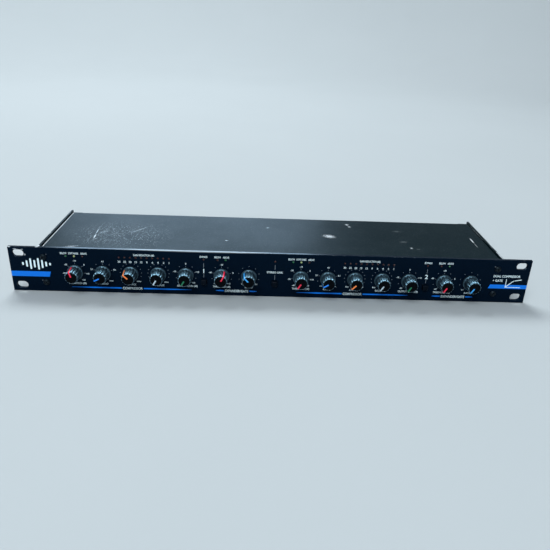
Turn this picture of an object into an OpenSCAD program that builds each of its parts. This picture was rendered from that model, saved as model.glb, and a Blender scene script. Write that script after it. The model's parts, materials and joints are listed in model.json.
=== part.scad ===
// Two-channel rack compressor and gate, one rack unit high.
// Millimetres. +X is right seen from the front, +Y runs back into the rack, +Z is up.
// The origin is the middle of the four rack slots, on the panel's rear (mounting) face.

/* [Front panel] */
// Width of the rack panel
panel_w = 482.6; // [481:0.1:483]
// Height of the panel: one rack unit less its clearance
panel_h = 44; // [43.6:0.1:44.4]
// Thickness of the panel
panel_t = 3; // [2.5:0.1:3.5]
// Distance between the left and right rack slots
slot_pitch_x = 465.1; // [464.8:0.1:465.4]
// Distance between the upper and lower rack slots
slot_pitch_z = 31.75; // [31.6:0.05:31.9]
// Length of a rack slot, end to end
slot_len = 10.3; // [8:0.1:11]
// Width of a rack slot
slot_w = 6.8; // [6.4:0.1:7]

/* [Case] */
// Width over the tray's side walls
case_w = 432; // [430:1:434]
// Depth of the side walls behind the panel
case_d = 105.2; // [104:0.2:112]
// Height of the side walls' top edges above the panel's middle
wall_top = 21; // [20.5:0.1:21.5]
// Thickness of the tray's sheet
tray_t = 2; // [1.6:0.1:2.2]
// Height of the top cover's upper face above the panel's middle
cover_top = 20; // [19.8:0.1:20.2]
// Thickness of the top cover's sheet
cover_t = 1.2; // [1:0.1:1.4]
// Outer bend radius of the top cover
cover_bend_r = 2.2; // [1.8:0.1:2.6]
// Thickness of the rear panel
rear_t = 1.5; // [1.2:0.1:1.6]

/* [Knobs] */
// Distance between neighbouring knobs
knob_pitch = 25.4; // [25:0.1:25.8]
// Distance from the last compressor knob to the first gate knob
section_pitch = 33; // [32:0.5:34]
// Distance from a channel 1 knob to the same knob of channel 2
channel_pitch = 208.3; // [208:0.1:209]
// How far the control layout's middle sits right of the panel's middle
row_x = 2; // [1:0.5:3]
// Height of the knobs' axes above the panel's middle
knob_z = -1.2; // [-1.6:0.1:-0.8]
// Length of a knob
knob_len = 14.1; // [13:0.1:15]
// Radius of a knob's smooth skirt
knob_skirt_r = 7.25; // [7:0.05:7.4]
// Radius of a knob's grip beside its face
knob_tip_r = 6.05; // [5.8:0.05:6.2]
// Number of flutes around a knob
flute_count = 14; // [12:1:16]

/* [Buttons and lamps] */
// Width and height of a push button's cap
button_w = 5; // [4.6:0.1:5.2]
// How far a front button stands out of the panel
button_out = 3; // [2.6:0.1:3.4]
// Height of the front buttons above the panel's middle
button_z = -7.9; // [-8:0.1:-7.8]
// Height of the row of lamps above the panel's middle
lamp_z = 14; // [13.6:0.1:14.2]
// Radius of a lamp
lamp_r = 0.95; // [0.9:0.05:1]
// Distance between neighbouring lamps of the meter
meter_pitch = 5.08; // [5:0.02:5.2]

/* [Rear] */
// Radius of a jack's bore, for a 6.35 mm plug
jack_r = 3.25; // [3.2:0.01:3.3]
// Distance between neighbouring jacks of a channel
jack_pitch = 36; // [34:1:38]
// Distance from a channel 1 jack to the same jack of channel 2
jack_channel_pitch = 160; // [158:1:162]
// Place of the mains inlet across the rear panel
inlet_x = 140; // [138:1:142]
// Place of the power switch across the rear panel
rocker_x = 186; // [184:1:188]
// Tilt of the power switch's rocker each way, in degrees
rocker_tilt = 12; // [10:1:12]

/* [Hidden] */
$fn = 48;

CHANNELS = [1, 2];
KNOBS = ["threshold", "ratio", "attack", "release", "output", "gate_threshold", "gate_ratio"];
POINTER_COLOURS = ["red", "royalblue", "orange", "white", "limegreen", "red", "skyblue"];
// Pointer angles as stored, in degrees clockwise from straight up
REST_ANGLES = [
    [-17, -116, -47, -150, -150, 27, -43],
    [-148, -121, -135, -147, -150, -150, -150],
];
FIRST_GATE_KNOB = 5;
METER_LAMPS = 10;
JACKS = ["sidechain", "output", "input"];

function knob_name(channel, kind) = str("knob_", KNOBS[kind], "_", channel);
KNOB_NODES = [for (c = CHANNELS) for (k = [0:len(KNOBS) - 1]) knob_name(c, k)];

// Gap that keeps touching pieces apart
fit_gap = 0.02;
// Extra length that carries a cut through a face
over = 1;

// Levels from the panel's middle
floor_z = -panel_h / 2;
tray_floor_z = floor_z + tray_t;
board_t = 1.6;
board_top = -12;
wall_x = case_w / 2;
inner_x = wall_x - tray_t;

// Tray flanges at the front and rear of each side wall
flange_w = 11;
flange_top = 18.4;
flange_bottom = tray_floor_z + 1;
tray_bend_r = 3;

// Case screws
case_screw_x = 210;
case_screw_z = 12.7;
screw_r = 1.48;
tapped_r = 1.5;
clear_r = 1.7;
head_r = 2.8;
head_h = 1.9;
cover_screw_z = 10;
COVER_SCREW_Y = [30, 74];

// Rear panel, in front of the tray's rear flanges
rear_y = case_d - tray_t - rear_t;
rear_face = rear_y + rear_t;
socket_z = -1;

// Front controls
channel_w = 5 * knob_pitch + section_pitch;
row_left = row_x - (channel_pitch + channel_w) / 2;
function knob_x(channel, kind) =
    row_left + (channel - 1) * channel_pitch + kind * knob_pitch
    + (kind >= FIRST_GATE_KNOB ? section_pitch - knob_pitch : 0);
function bypass_x(channel) =
    (knob_x(channel, FIRST_GATE_KNOB - 1) + knob_x(channel, FIRST_GATE_KNOB)) / 2;
function meter_x(channel) = (knob_x(channel, 2) + knob_x(channel, 3)) / 2;

knob_gap = 0.3;
knob_back = -panel_t - knob_gap;
knob_skirt_len = 2.8;
knob_grip_r = 6.8;
knob_chamfer = 0.7;
flute_r = 1.5;
flute_depth = 0.5;
pointer_w = 1.4;
pointer_t = 0.4;
shaft_r = 3;
shaft_bore_r = 3.05;
shaft_flat = 1.5;
flat_runout = 0.2;
shaft_front = knob_back - 11;
shaft_rear = 7.5;
pot_w = 11;
pot_y = 3;
pot_d = 7;
bushing_r = 3.5;
bushing_front = -panel_t + 0.2;
pot_hole_r = 3.7;

button_hole_gap = 0.2;
button_travel = 2.2;
plunger_w = 3;
plunger_gap = 0.1;
switch_w = 8;
switch_d = 12;
switch_gap = 3;
front_cap_len = button_out + panel_t + 2.8;
rear_button_out = 2.6;
rear_cap_len = rear_button_out + rear_t + 2.6;

lamp_hole_r = 1.05;
lamp_base_r = 1.5;
lamp_board_y = 5;
lamp_board_z = [9.5, 18.2];
lamp_board_half = 196;
lamp_pitch = 7.5;
METER_X = [for (c = CHANNELS) for (i = [0:METER_LAMPS - 1])
    meter_x(c) + (i - (METER_LAMPS - 1) / 2) * meter_pitch];
RED_LAMPS_X = concat(
    METER_X,
    [for (c = CHANNELS) knob_x(c, 0) + lamp_pitch],
    [for (c = CHANNELS) knob_x(c, FIRST_GATE_KNOB) - lamp_pitch / 2],
    [for (c = CHANNELS) bypass_x(c)],
    [row_x]
);
GREEN_LAMPS_X = concat(
    [for (c = CHANNELS) knob_x(c, 0) - lamp_pitch],
    [for (c = CHANNELS) knob_x(c, FIRST_GATE_KNOB) + lamp_pitch / 2]
);
YELLOW_LAMPS_X = [for (c = CHANNELS) knob_x(c, 0)];
FRONT_BUTTONS_X = [bypass_x(1), bypass_x(2), row_x];

// Rear sockets
jack_row_x = -130;
function jack_x(channel, place) =
    jack_row_x + (channel - 1) * jack_channel_pitch + (place - 1) * jack_pitch;
function level_x(channel) = jack_x(channel, 1) + jack_pitch / 2;
jack_thread_r = 4.7;
jack_out = 4.6;
jack_body_d = 27;
jack_wall = 3;
jack_nut_r = 7.2;
jack_nut_h = 2.2;

inlet_flange = [48, 22, 2.4];
inlet_body = [27, 19.6, 18];
inlet_cavity = [24, 15.6];
inlet_cavity_d = 17;
inlet_corner = 5;
inlet_screw_x = 20;
INLET_PINS = [[-7, -2], [0, 2], [7, -2]];
pin_size = [2, 4, 25.6];
pin_recess = 2;

rocker_r = 8.5;
rocker_w = 9.2;
rocker_cavity_r = 8.7;
rocker_cavity_w = 9.6;
rocker_pivot_y = rear_face - 2.2;
rocker_face = 3.6;
rocker_pin_r = 1;
rocker_bore_r = 1.04;
rocker_flange = [15, 21, 2];
rocker_body = [12.8, 18.8, 15];
terminal_size = [0.8, 6, 8];
TERMINAL_Z = [-4.5, 4.5];

// Boards and what stands on them
board_front = 3.5;
board_strip_d = 18.5;
board_d = 93.5;
board_half = 204;
board_right = 104;
STANDOFFS = [[-196, 28], [-196, 88], [-53, 47], [-50, 90], [99, 25.5], [99, 90], [197, 15]];
standoff_r = 3.2;
POSTS_X = [for (side = [-1, 1]) for (d = [36.85, 171.45]) row_x + side * d];
CHIPS_X = [for (i = [0:6]) -180 + 30 * i];
PARTS_Y = [36, 58];
chip = [7, 20, 3.4];
chip_lift = 0.5;

// Transformer, flat on spacers above the tray's floor
transformer = [142, 48.5, -2];
core = [54, 45, 22];
core_leg = 9;
coil = [35.2, 26.4, 34.6];
coil_gap = 0.2;
CORE_HOLES = [for (sx = [-1, 1]) for (sy = [-1, 1]) [sx * 22.5, sy * 18]];
core_screw_r = 1.6;
core_hole_r = 1.75;

// Power supply parts on the main board
FILTER_CAPS = [[58, 36], [58, 58]];
heatsink_x = 84;
REGULATORS_Y = [38, 58];
fuse_at = [34, 40];
earth_at = [116, 86];
wire_r = 1.1;
WIRE_SIDES = 10;
lug_z = -16.4;
lug_reach = 7;

// Local +Z runs towards the front, local +Y up
module facing_front(x, z, y = 0) {
    translate([x, y, z]) rotate([90, 0, 0]) children();
}

// Local +Z runs towards the rear, local +Y down
module facing_rear(x, z, y = 0) {
    translate([x, y, z]) rotate([-90, 0, 0]) children();
}

// Copies at four points mirrored about both middle lines
module four_corners(x, z) {
    for (sx = [-1, 1]) for (sz = [-1, 1]) translate([sx * x, 0, sz * z]) children();
}

module centred_box(size, z = 0) {
    translate([-size[0] / 2, -size[1] / 2, z]) cube(size);
}

module cross_recess(size, depth) {
    centred_box([size, size / 4.5, depth]);
    centred_box([size / 4.5, size, depth]);
}

// Screw with its head's underside at z = 0 and its shank running down
module pan_screw(length, r = screw_r, head = head_r, height = head_h) {
    difference() {
        union() {
            cylinder(h = height * 0.55, r = head);
            translate([0, 0, height * 0.55]) cylinder(h = height * 0.45, r1 = head, r2 = head * 0.68);
            translate([0, 0, -length]) cylinder(h = length, r = r);
        }
        translate([0, 0, height * 0.4]) cross_recess(head * 1.05, height);
    }
}

// Screw whose flat head's face is at z = 0
module countersunk_screw(length, r = screw_r, head = head_r) {
    difference() {
        union() {
            translate([0, 0, -(head - r)]) cylinder(h = head - r, r1 = r, r2 = head);
            translate([0, 0, -length]) cylinder(h = length, r = r);
        }
        translate([0, 0, -0.9]) cross_recess(head, over + 0.9);
    }
}

// Cone cut for a flat screw head, its wide end at z = 0
module countersink() {
    depth = head_r - screw_r;
    translate([0, 0, -depth]) cylinder(h = depth, r1 = clear_r, r2 = head_r + 0.2);
}

// Rectangle standing on y = 0 with rounded upper corners
module round_topped(w, h, r) {
    translate([-w / 2, 0]) square([w, h - r]);
    translate([-w / 2 + r, 0]) square([w - 2 * r, h]);
    for (side = [-1, 1]) translate([side * (w / 2 - r), h - r]) circle(r);
}

module slot_hole(length, width, depth) {
    straight = length - width;
    translate([-straight / 2, -width / 2, -over]) cube([straight, width, depth + 2 * over]);
    for (side = [-1, 1]) {
        translate([side * straight / 2, 0, -over]) cylinder(h = depth + 2 * over, d = width);
    }
}

function unit(v) = v / norm(v);

// Direction of the stretch that leaves point i, or of the last stretch
function run_at(points, i) =
    let (k = min(max(i, 0), len(points) - 2)) unit(points[k + 1] - points[k]);

// Sideways direction of stretch i, turned with the wire at each bend so that it doesn't twist
function side_at(points, i) =
    i == 0
        ? unit(cross(run_at(points, 0), abs(run_at(points, 0)[2]) > 0.9 ? [1, 0, 0] : [0, 0, 1]))
        : let (
            side = side_at(points, i - 1),
            before = run_at(points, i - 1),
            run = run_at(points, i)
        )
        side - (side * run) / (1 + before * run) * (before + run);

// Ring i lies in the plane that halves the bend at point i
function wire_ring(points, i, r) =
    let (
        before = run_at(points, i - 1),
        side = side_at(points, max(i - 1, 0)),
        up = cross(before, side),
        half = unit(before + run_at(points, i))
    )
    [for (k = [0:WIRE_SIDES - 1])
        let (
            angle = k * 360 / WIRE_SIDES,
            spoke = r * (cos(angle) * side + sin(angle) * up)
        )
        points[i] + spoke - (spoke * half) / (before * half) * before];

// Wire along a list of points, with mitred bends
module wire(points, r = wire_r) {
    last = len(points) - 1;
    polyhedron(
        points = [for (i = [0:last]) each wire_ring(points, i, r)],
        faces = concat(
            [[for (k = [0:WIRE_SIDES - 1]) k]],
            [for (i = [0:last - 1]) for (k = [0:WIRE_SIDES - 1])
                let (a = i * WIRE_SIDES + k, b = i * WIRE_SIDES + (k + 1) % WIRE_SIDES)
                [a, a + WIRE_SIDES, b + WIRE_SIDES, b]],
            [[for (k = [0:WIRE_SIDES - 1]) last * WIRE_SIDES + WIRE_SIDES - 1 - k]]
        ),
        convexity = 4
    );
}

module front_panel() {
    color([0.07, 0.08, 0.1]) difference() {
        translate([-panel_w / 2, -panel_t, -panel_h / 2]) cube([panel_w, panel_t, panel_h]);
        four_corners(slot_pitch_x / 2, slot_pitch_z / 2) {
            facing_front(0, 0) slot_hole(slot_len, slot_w, panel_t);
        }
        four_corners(case_screw_x, case_screw_z) {
            facing_front(0, 0, over) cylinder(h = panel_t + 2 * over, r = clear_r);
        }
        for (c = CHANNELS) for (k = [0:len(KNOBS) - 1]) {
            facing_front(knob_x(c, k), knob_z, over) cylinder(h = panel_t + 2 * over, r = pot_hole_r);
        }
        for (x = concat(RED_LAMPS_X, GREEN_LAMPS_X, YELLOW_LAMPS_X)) {
            facing_front(x, lamp_z, over) cylinder(h = panel_t + 2 * over, r = lamp_hole_r);
        }
        for (x = FRONT_BUTTONS_X) {
            hole_w = button_w + 2 * button_hole_gap;
            facing_front(x, button_z, over) centred_box([hole_w, hole_w, panel_t + 2 * over]);
        }
    }
}

module tray_section(inset, r) {
    mirror([0, 1]) round_topped(case_w - 2 * inset, panel_h / 2 - inset, r);
    translate([-case_w / 2 + inset, -over]) square([case_w - 2 * inset, wall_top + over]);
}

module chassis_tray() {
    flange_h = flange_top - flange_bottom;
    color([0.16, 0.17, 0.19]) difference() {
        union() {
            translate([0, case_d, 0]) rotate([90, 0, 0]) linear_extrude(case_d) difference() {
                tray_section(0, tray_bend_r);
                tray_section(tray_t, tray_bend_r - tray_t);
                translate([-inner_x, 0]) square([2 * inner_x, wall_top + over]);
            }
            for (side = [-1, 1]) for (y = [0, case_d - tray_t]) {
                translate([side * (wall_x - flange_w / 2 - over / 2) - flange_w / 2, y, flange_bottom])
                    cube([flange_w, tray_t, flange_h]);
            }
        }
        four_corners(case_screw_x, case_screw_z) {
            facing_rear(0, 0, -over) cylinder(h = tray_t + 2 * over, r = tapped_r);
            facing_rear(0, 0, case_d - tray_t - over) cylinder(h = tray_t + 2 * over, r = clear_r);
        }
        for (side = [-1, 1]) for (y = COVER_SCREW_Y) {
            translate([side * wall_x, y, cover_screw_z]) rotate([0, side * 90, 0]) {
                translate([0, 0, -tray_t - over]) cylinder(h = tray_t + 2 * over, r = clear_r);
                countersink();
            }
        }
        for (p = CORE_HOLES) {
            translate([transformer[0] + p[0], transformer[1] + p[1], floor_z - over])
                cylinder(h = tray_t + 2 * over, r = core_screw_r + fit_gap);
        }
        translate([earth_at[0], earth_at[1], floor_z - over])
            cylinder(h = tray_t + 2 * over, r = tapped_r);
    }
}

// Solid with rounded edges on all four sides of its top, drawn inset by the sheet's thickness
module cover_block(inset) {
    w = 2 * inner_x - 0.2 - 2 * inset;
    front = 0.4 + inset;
    back = rear_y - 0.3 - inset;
    top = cover_top - inset;
    r = cover_bend_r - inset;
    intersection() {
        translate([0, back, 0]) rotate([90, 0, 0]) linear_extrude(back - front) round_topped(w, top, r);
        translate([-w / 2, (front + back) / 2, 0]) rotate([90, 0, 90]) {
            linear_extrude(w) round_topped(back - front, top, r);
        }
    }
}

module top_cover() {
    lip_bottom = 16.4;
    side_bottom = 3;
    corner_w = flange_w + 2;
    color([0.22, 0.25, 0.28]) difference() {
        cover_block(0);
        cover_block(cover_t);
        translate([-wall_x, -over, -over]) cube([case_w, case_d + 2 * over, side_bottom + over]);
        lip_w = 2 * (wall_x - corner_w);
        translate([-lip_w / 2, -over, 0]) cube([lip_w, 4 + over, lip_bottom]);
        translate([-lip_w / 2, rear_y - 4, 0]) cube([lip_w, 4 + over, lip_bottom]);
        for (side = [-1, 1]) {
            translate([side * (wall_x - corner_w / 2) - corner_w / 2, -over, 0])
                cube([corner_w, over + 2.4, cover_top - cover_t]);
            translate([side * (wall_x - corner_w / 2) - corner_w / 2, rear_y - 1.6, 0])
                cube([corner_w, 2, lip_bottom]);
        }
        for (side = [-1, 1]) for (y = COVER_SCREW_Y) {
            translate([side * wall_x, y, cover_screw_z]) rotate([0, -side * 90, 0])
                cylinder(h = 6, r = tapped_r);
        }
    }
}

module rear_panel() {
    w = 2 * inner_x - 1.2;
    bottom = tray_floor_z + 0.4;
    color([0.1, 0.11, 0.12]) difference() {
        translate([-w / 2, rear_y, bottom]) cube([w, rear_t, flange_top - bottom]);
        four_corners(case_screw_x, case_screw_z) {
            facing_rear(0, 0, rear_y - over) cylinder(h = rear_t + 2 * over, r = tapped_r);
        }
        for (c = CHANNELS) for (place = [0:len(JACKS) - 1]) {
            facing_rear(jack_x(c, place), socket_z, rear_y - over)
                cylinder(h = rear_t + 2 * over, r = jack_thread_r + 0.1);
        }
        for (c = CHANNELS) {
            hole_w = button_w + 2 * button_hole_gap;
            facing_rear(level_x(c), button_z, rear_y - over)
                centred_box([hole_w, hole_w, rear_t + 2 * over]);
        }
        facing_rear(inlet_x, socket_z, rear_y - over)
            centred_box([inlet_body[0] + 0.2, inlet_body[1] + 0.2, rear_t + 2 * over]);
        for (side = [-1, 1]) {
            facing_rear(inlet_x + side * inlet_screw_x, socket_z, rear_y - over)
                cylinder(h = rear_t + 2 * over, r = tapped_r);
        }
        facing_rear(rocker_x, socket_z, rear_y - over)
            centred_box([rocker_body[0] + 0.2, rocker_body[1] + 0.2, rear_t + 2 * over]);
    }
}

module front_panel_screws() {
    color([0.05, 0.05, 0.05]) four_corners(case_screw_x, case_screw_z) {
        facing_front(0, 0, -panel_t) pan_screw(8);
    }
}

module rear_panel_screws() {
    color([0.05, 0.05, 0.05]) four_corners(case_screw_x, case_screw_z) {
        facing_rear(0, 0, case_d) pan_screw(7);
    }
}

module cover_screws() {
    color([0.05, 0.05, 0.05]) for (side = [-1, 1]) for (y = COVER_SCREW_Y) {
        translate([side * wall_x, y, cover_screw_z]) rotate([0, side * 90, 0]) countersunk_screw(7);
    }
}

module main_board() {
    color([0.1, 0.35, 0.2]) translate([0, 0, board_top - board_t]) difference() {
        union() {
            translate([-board_half, board_front, 0]) cube([2 * board_half, board_strip_d, board_t]);
            translate([-board_half, board_front, 0]) cube([board_half + board_right, board_d, board_t]);
        }
        for (p = STANDOFFS) translate([p[0], p[1], -over]) cylinder(h = board_t + 2 * over, r = clear_r);
    }
}

module board_standoffs() {
    height = board_top - board_t - tray_floor_z;
    color([0.75, 0.7, 0.45]) for (p = STANDOFFS) translate([p[0], p[1], tray_floor_z]) difference() {
        cylinder(h = height, r = standoff_r, $fn = 6);
        translate([0, 0, 1]) cylinder(h = height, r = tapped_r);
    }
}

module board_screws() {
    color([0.75, 0.75, 0.75]) for (p = STANDOFFS) translate([p[0], p[1], board_top]) pan_screw(6);
}

module lamp_board() {
    color([0.1, 0.35, 0.2]) translate([row_x - lamp_board_half, lamp_board_y, lamp_board_z[0]])
        cube([2 * lamp_board_half, board_t, lamp_board_z[1] - lamp_board_z[0]]);
}

module lamp_board_posts() {
    color([0.08, 0.08, 0.08]) for (x = POSTS_X) translate([x, lamp_board_y + board_t, board_top])
        translate([-5, 0, 0]) cube([10, 2.8, 28]);
}

// Outline of a knob's wall: radius against distance from its back
module knob_outline() {
    polygon([
        [0, 0],
        [knob_skirt_r, 0],
        [knob_skirt_r - 0.05, knob_skirt_len - 0.3],
        [knob_skirt_r - 0.35, knob_skirt_len],
        [knob_grip_r, knob_skirt_len],
        [knob_tip_r, knob_len - knob_chamfer],
        [knob_tip_r - knob_chamfer, knob_len],
        [0, knob_len],
    ]);
}

// Knob with its face up, its pointer towards +Y and its shaft running down
module knob_and_shaft(colour) {
    grip_len = knob_len - knob_skirt_len;
    lean = atan((knob_grip_r - knob_tip_r) / grip_len);
    bore_len = knob_back - shaft_front;
    shaft_len = shaft_rear - shaft_front;
    pointer = [pointer_w, knob_tip_r - knob_chamfer - 0.6, pointer_t];
    color([0.03, 0.03, 0.04]) difference() {
        rotate_extrude() knob_outline();
        for (i = [0:flute_count - 1]) rotate([0, 0, (i + 0.5) * 360 / flute_count])
            translate([0, knob_grip_r + flute_r - flute_depth, knob_skirt_len + 0.4])
                rotate([lean, 0, 0]) cylinder(h = grip_len + 2 * over, r = flute_r, $fn = 24);
        translate([0, 0, -over]) difference() {
            cylinder(h = bore_len + over + 0.1, r = shaft_bore_r);
            translate([-shaft_r - over, shaft_flat + shaft_bore_r - shaft_r, 0])
                cube([2 * (shaft_r + over), shaft_r, bore_len + 2 * over]);
        }
        translate([-pointer_w / 2 - fit_gap, 0.6 - fit_gap, knob_len - pointer_t - fit_gap])
            cube([pointer_w + 2 * fit_gap, pointer[1] + 2 * fit_gap, pointer_t + over]);
    }
    color(colour) translate([-pointer_w / 2, 0.6, knob_len - pointer_t]) cube(pointer);
    color([0.7, 0.7, 0.7]) difference() {
        translate([0, 0, bore_len - shaft_len]) cylinder(h = shaft_len, r = shaft_r);
        translate([-shaft_r - over, shaft_flat, -flat_runout])
            cube([2 * (shaft_r + over), shaft_r, bore_len + over + flat_runout]);
    }
}

module control_knob(channel, kind) {
    angle = REST_ANGLES[channel - 1][kind];
    facing_front(knob_x(channel, kind), knob_z, knob_back) rotate([0, 0, -angle])
        knob_and_shaft(POINTER_COLOURS[kind]);
}

module pot_bodies() {
    foot_w = 9;
    body_bottom = knob_z - pot_w / 2;
    color([0.2, 0.45, 0.3]) for (c = CHANNELS) for (k = [0:len(KNOBS) - 1]) difference() {
        translate([knob_x(c, k), 0, 0]) union() {
            translate([-pot_w / 2, pot_y, body_bottom]) cube([pot_w, pot_d, pot_w]);
            translate([-foot_w / 2, pot_y + over, board_top])
                cube([foot_w, pot_d - 2 * over, body_bottom - board_top + over]);
            facing_front(0, knob_z, pot_y + over) cylinder(h = pot_y + over - bushing_front, r = bushing_r);
        }
        facing_front(knob_x(c, k), knob_z, shaft_rear + 0.5)
            cylinder(h = shaft_rear + 0.5 - bushing_front + over, r = shaft_bore_r);
    }
}

// Cap and plunger of a push button, the cap's face at z = 0 and the plunger running down
module push_button(cap_len) {
    plunger_len = switch_gap + switch_d / 2 - button_travel - 0.8;
    translate([0, 0, -cap_len]) difference() {
        centred_box([button_w, button_w, cap_len]);
        for (side = [-1, 1]) translate([0, side * button_w / 2, cap_len]) rotate([45, 0, 0])
            cube([button_w + over, 0.6, 0.6], center = true);
        for (side = [-1, 1]) translate([side * button_w / 2, 0, cap_len]) rotate([0, 45, 0])
            cube([0.6, button_w + over, 0.6], center = true);
    }
    translate([0, 0, -cap_len - plunger_len]) centred_box([plunger_w, plunger_w, plunger_len]);
}

// Body of a latching push switch, its mouth at z = 0 and its body running down
module push_switch() {
    hole_w = plunger_w + 2 * plunger_gap;
    difference() {
        translate([0, 0, -switch_d]) translate([-switch_w / 2, board_top - button_z, 0])
            cube([switch_w, switch_w, switch_d]);
        translate([0, 0, -switch_d / 2]) centred_box([hole_w, hole_w, switch_d]);
    }
}

module front_button(x) {
    color([0.04, 0.04, 0.05]) facing_front(x, button_z, -panel_t - button_out) push_button(front_cap_len);
}

module bypass_button_1() { front_button(bypass_x(1)); }
module bypass_button_2() { front_button(bypass_x(2)); }
module couple_button() { front_button(row_x); }

module button_switches() {
    color([0.3, 0.3, 0.32]) for (x = FRONT_BUTTONS_X)
        facing_front(x, button_z, -panel_t - button_out + front_cap_len + switch_gap) push_switch();
}

// Lamps on the lamp board, with domed ends in the panel's holes
module lamps(xs) {
    tip = panel_t - lamp_r + 0.35;
    for (x = xs) facing_front(x, lamp_z) {
        translate([0, 0, -lamp_board_y]) cylinder(h = 1.4, r = lamp_base_r);
        translate([0, 0, -lamp_board_y]) cylinder(h = tip + lamp_board_y, r = lamp_r);
        translate([0, 0, tip]) sphere(lamp_r);
    }
}

module red_lamps() { color([0.55, 0.08, 0.06]) lamps(RED_LAMPS_X); }
module green_lamps() { color([0.2, 0.6, 0.25]) lamps(GREEN_LAMPS_X); }
module yellow_lamps() { color([0.85, 0.7, 0.2]) lamps(YELLOW_LAMPS_X); }

// Quarter-inch jack on the main board, its threaded nose out through the rear panel
module jack_body(x) {
    body_w = 15.6;
    body_top = 7;
    depth = jack_body_d + rear_t + jack_out;
    difference() {
        union() {
            translate([x - body_w / 2, rear_y - jack_body_d, board_top])
                cube([body_w, jack_body_d, body_top - board_top]);
            facing_rear(x, socket_z, rear_y - over)
                cylinder(h = rear_t + jack_out + over, r = jack_thread_r);
        }
        facing_rear(x, socket_z, rear_face + jack_out - depth + jack_wall) cylinder(h = depth, r = jack_r);
    }
}

module jacks(place) {
    color([0.12, 0.12, 0.13]) for (c = CHANNELS) jack_body(jack_x(c, place));
}

module sidechain_jacks() { jacks(0); }
module output_jacks() { jacks(1); }
module input_jacks() { jacks(2); }

module jack_nuts() {
    color([0.75, 0.75, 0.77]) for (c = CHANNELS) for (place = [0:len(JACKS) - 1])
        facing_rear(jack_x(c, place), socket_z, rear_face) difference() {
            cylinder(h = jack_nut_h, r = jack_nut_r, $fn = 6);
            translate([0, 0, -over]) cylinder(h = jack_nut_h + 2 * over, r = jack_thread_r + 0.05);
        }
}

module level_button(channel) {
    color([0.04, 0.04, 0.05]) facing_rear(level_x(channel), button_z, rear_face + rear_button_out)
        push_button(rear_cap_len);
}

module level_button_1() { level_button(1); }
module level_button_2() { level_button(2); }

module level_switches() {
    color([0.3, 0.3, 0.32]) for (c = CHANNELS)
        facing_rear(level_x(c), button_z, rear_face + rear_button_out - rear_cap_len - switch_gap)
            mirror([0, 1, 0]) push_switch();
}

// Outline of the plug's way in, with its two upper corners cut off; local +Y is down
module inlet_outline() {
    w = inlet_cavity[0] / 2;
    h = inlet_cavity[1] / 2;
    c = inlet_corner;
    polygon([[-w, h], [w, h], [w, c - h], [w - c, -h], [c - w, -h], [-w, c - h]]);
}

module mains_inlet() {
    floor_depth = inlet_cavity_d - inlet_flange[2];
    color([0.05, 0.05, 0.06]) facing_rear(inlet_x, socket_z, rear_face) difference() {
        union() {
            centred_box(inlet_flange);
            centred_box([inlet_body[0], inlet_body[1], inlet_body[2] + over], -inlet_body[2]);
        }
        translate([0, 0, -floor_depth]) linear_extrude(inlet_cavity_d + over) inlet_outline();
        for (side = [-1, 1]) translate([side * inlet_screw_x, 0, 0]) {
            translate([0, 0, -over]) cylinder(h = inlet_flange[2] + 2 * over, r = clear_r);
            translate([0, 0, inlet_flange[2]]) countersink();
        }
        for (p = INLET_PINS) translate([p[0], -p[1], -inlet_body[2] - over])
            centred_box([pin_size[0] + 2 * fit_gap, pin_size[1] + 2 * fit_gap, inlet_body[2]]);
    }
}

module inlet_pins() {
    color([0.8, 0.8, 0.8]) for (p = INLET_PINS)
        facing_rear(inlet_x + p[0], socket_z + p[1], rear_face + inlet_flange[2] - pin_recess)
            translate([0, 0, -pin_size[2]]) centred_box(pin_size);
}

module inlet_screws() {
    color([0.05, 0.05, 0.05]) for (side = [-1, 1])
        facing_rear(inlet_x + side * inlet_screw_x, socket_z, rear_face + inlet_flange[2])
            countersunk_screw(7);
}

// Section of the rocker about its pivot: local +X towards the rear, +Y up
module rocker_section() {
    reach = 2 * rocker_r;
    rise = reach * tan(rocker_tilt);
    intersection() {
        circle(rocker_r);
        polygon([
            [-2, -reach],
            [rocker_face + rise, -reach],
            [rocker_face, 0],
            [rocker_face + rise, reach],
            [-2, reach],
        ]);
    }
}

module power_rocker() {
    color([0.04, 0.04, 0.05]) translate([rocker_x, rocker_pivot_y, socket_z]) rotate([rocker_tilt, 0, 0])
        difference() {
            translate([-rocker_w / 2, 0, 0]) rotate([90, 0, 90]) linear_extrude(rocker_w) rocker_section();
            translate([-rocker_w, 0, 0]) rotate([0, 90, 0]) cylinder(h = 2 * rocker_w, r = rocker_bore_r);
        }
}

module rocker_frame() {
    color([0.06, 0.06, 0.07]) difference() {
        facing_rear(rocker_x, socket_z, rear_face) {
            centred_box(rocker_flange);
            centred_box([rocker_body[0], rocker_body[1], rocker_body[2] + over], -rocker_body[2]);
        }
        translate([rocker_x - rocker_cavity_w / 2, rocker_pivot_y, socket_z]) rotate([0, 90, 0])
            cylinder(h = rocker_cavity_w, r = rocker_cavity_r);
        for (z = TERMINAL_Z) facing_rear(rocker_x, socket_z + z, rear_face - rocker_body[2] - over)
            centred_box([terminal_size[0] + 2 * fit_gap, terminal_size[1] + 2 * fit_gap, 2 + over]);
    }
    color([0.7, 0.7, 0.7]) translate([rocker_x - rocker_cavity_w / 2 - over, rocker_pivot_y, socket_z])
        rotate([0, 90, 0]) cylinder(h = rocker_cavity_w + 2 * over, r = rocker_pin_r);
    color([0.8, 0.8, 0.8]) for (z = TERMINAL_Z)
        facing_rear(rocker_x, socket_z + z, rear_face - rocker_body[2] + 2 - terminal_size[2])
            centred_box(terminal_size);
}

module transformer_core() {
    window = [core_leg, core[1] - 2 * core_leg, core[2] + 2 * over];
    color([0.35, 0.35, 0.38]) translate(transformer) difference() {
        cube(core, center = true);
        for (side = [-1, 1]) translate([side * 1.5 * core_leg, 0, 0]) cube(window, center = true);
        for (p = CORE_HOLES) translate([p[0], p[1], -core[2]]) cylinder(h = 2 * core[2], r = core_hole_r);
    }
}

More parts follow.
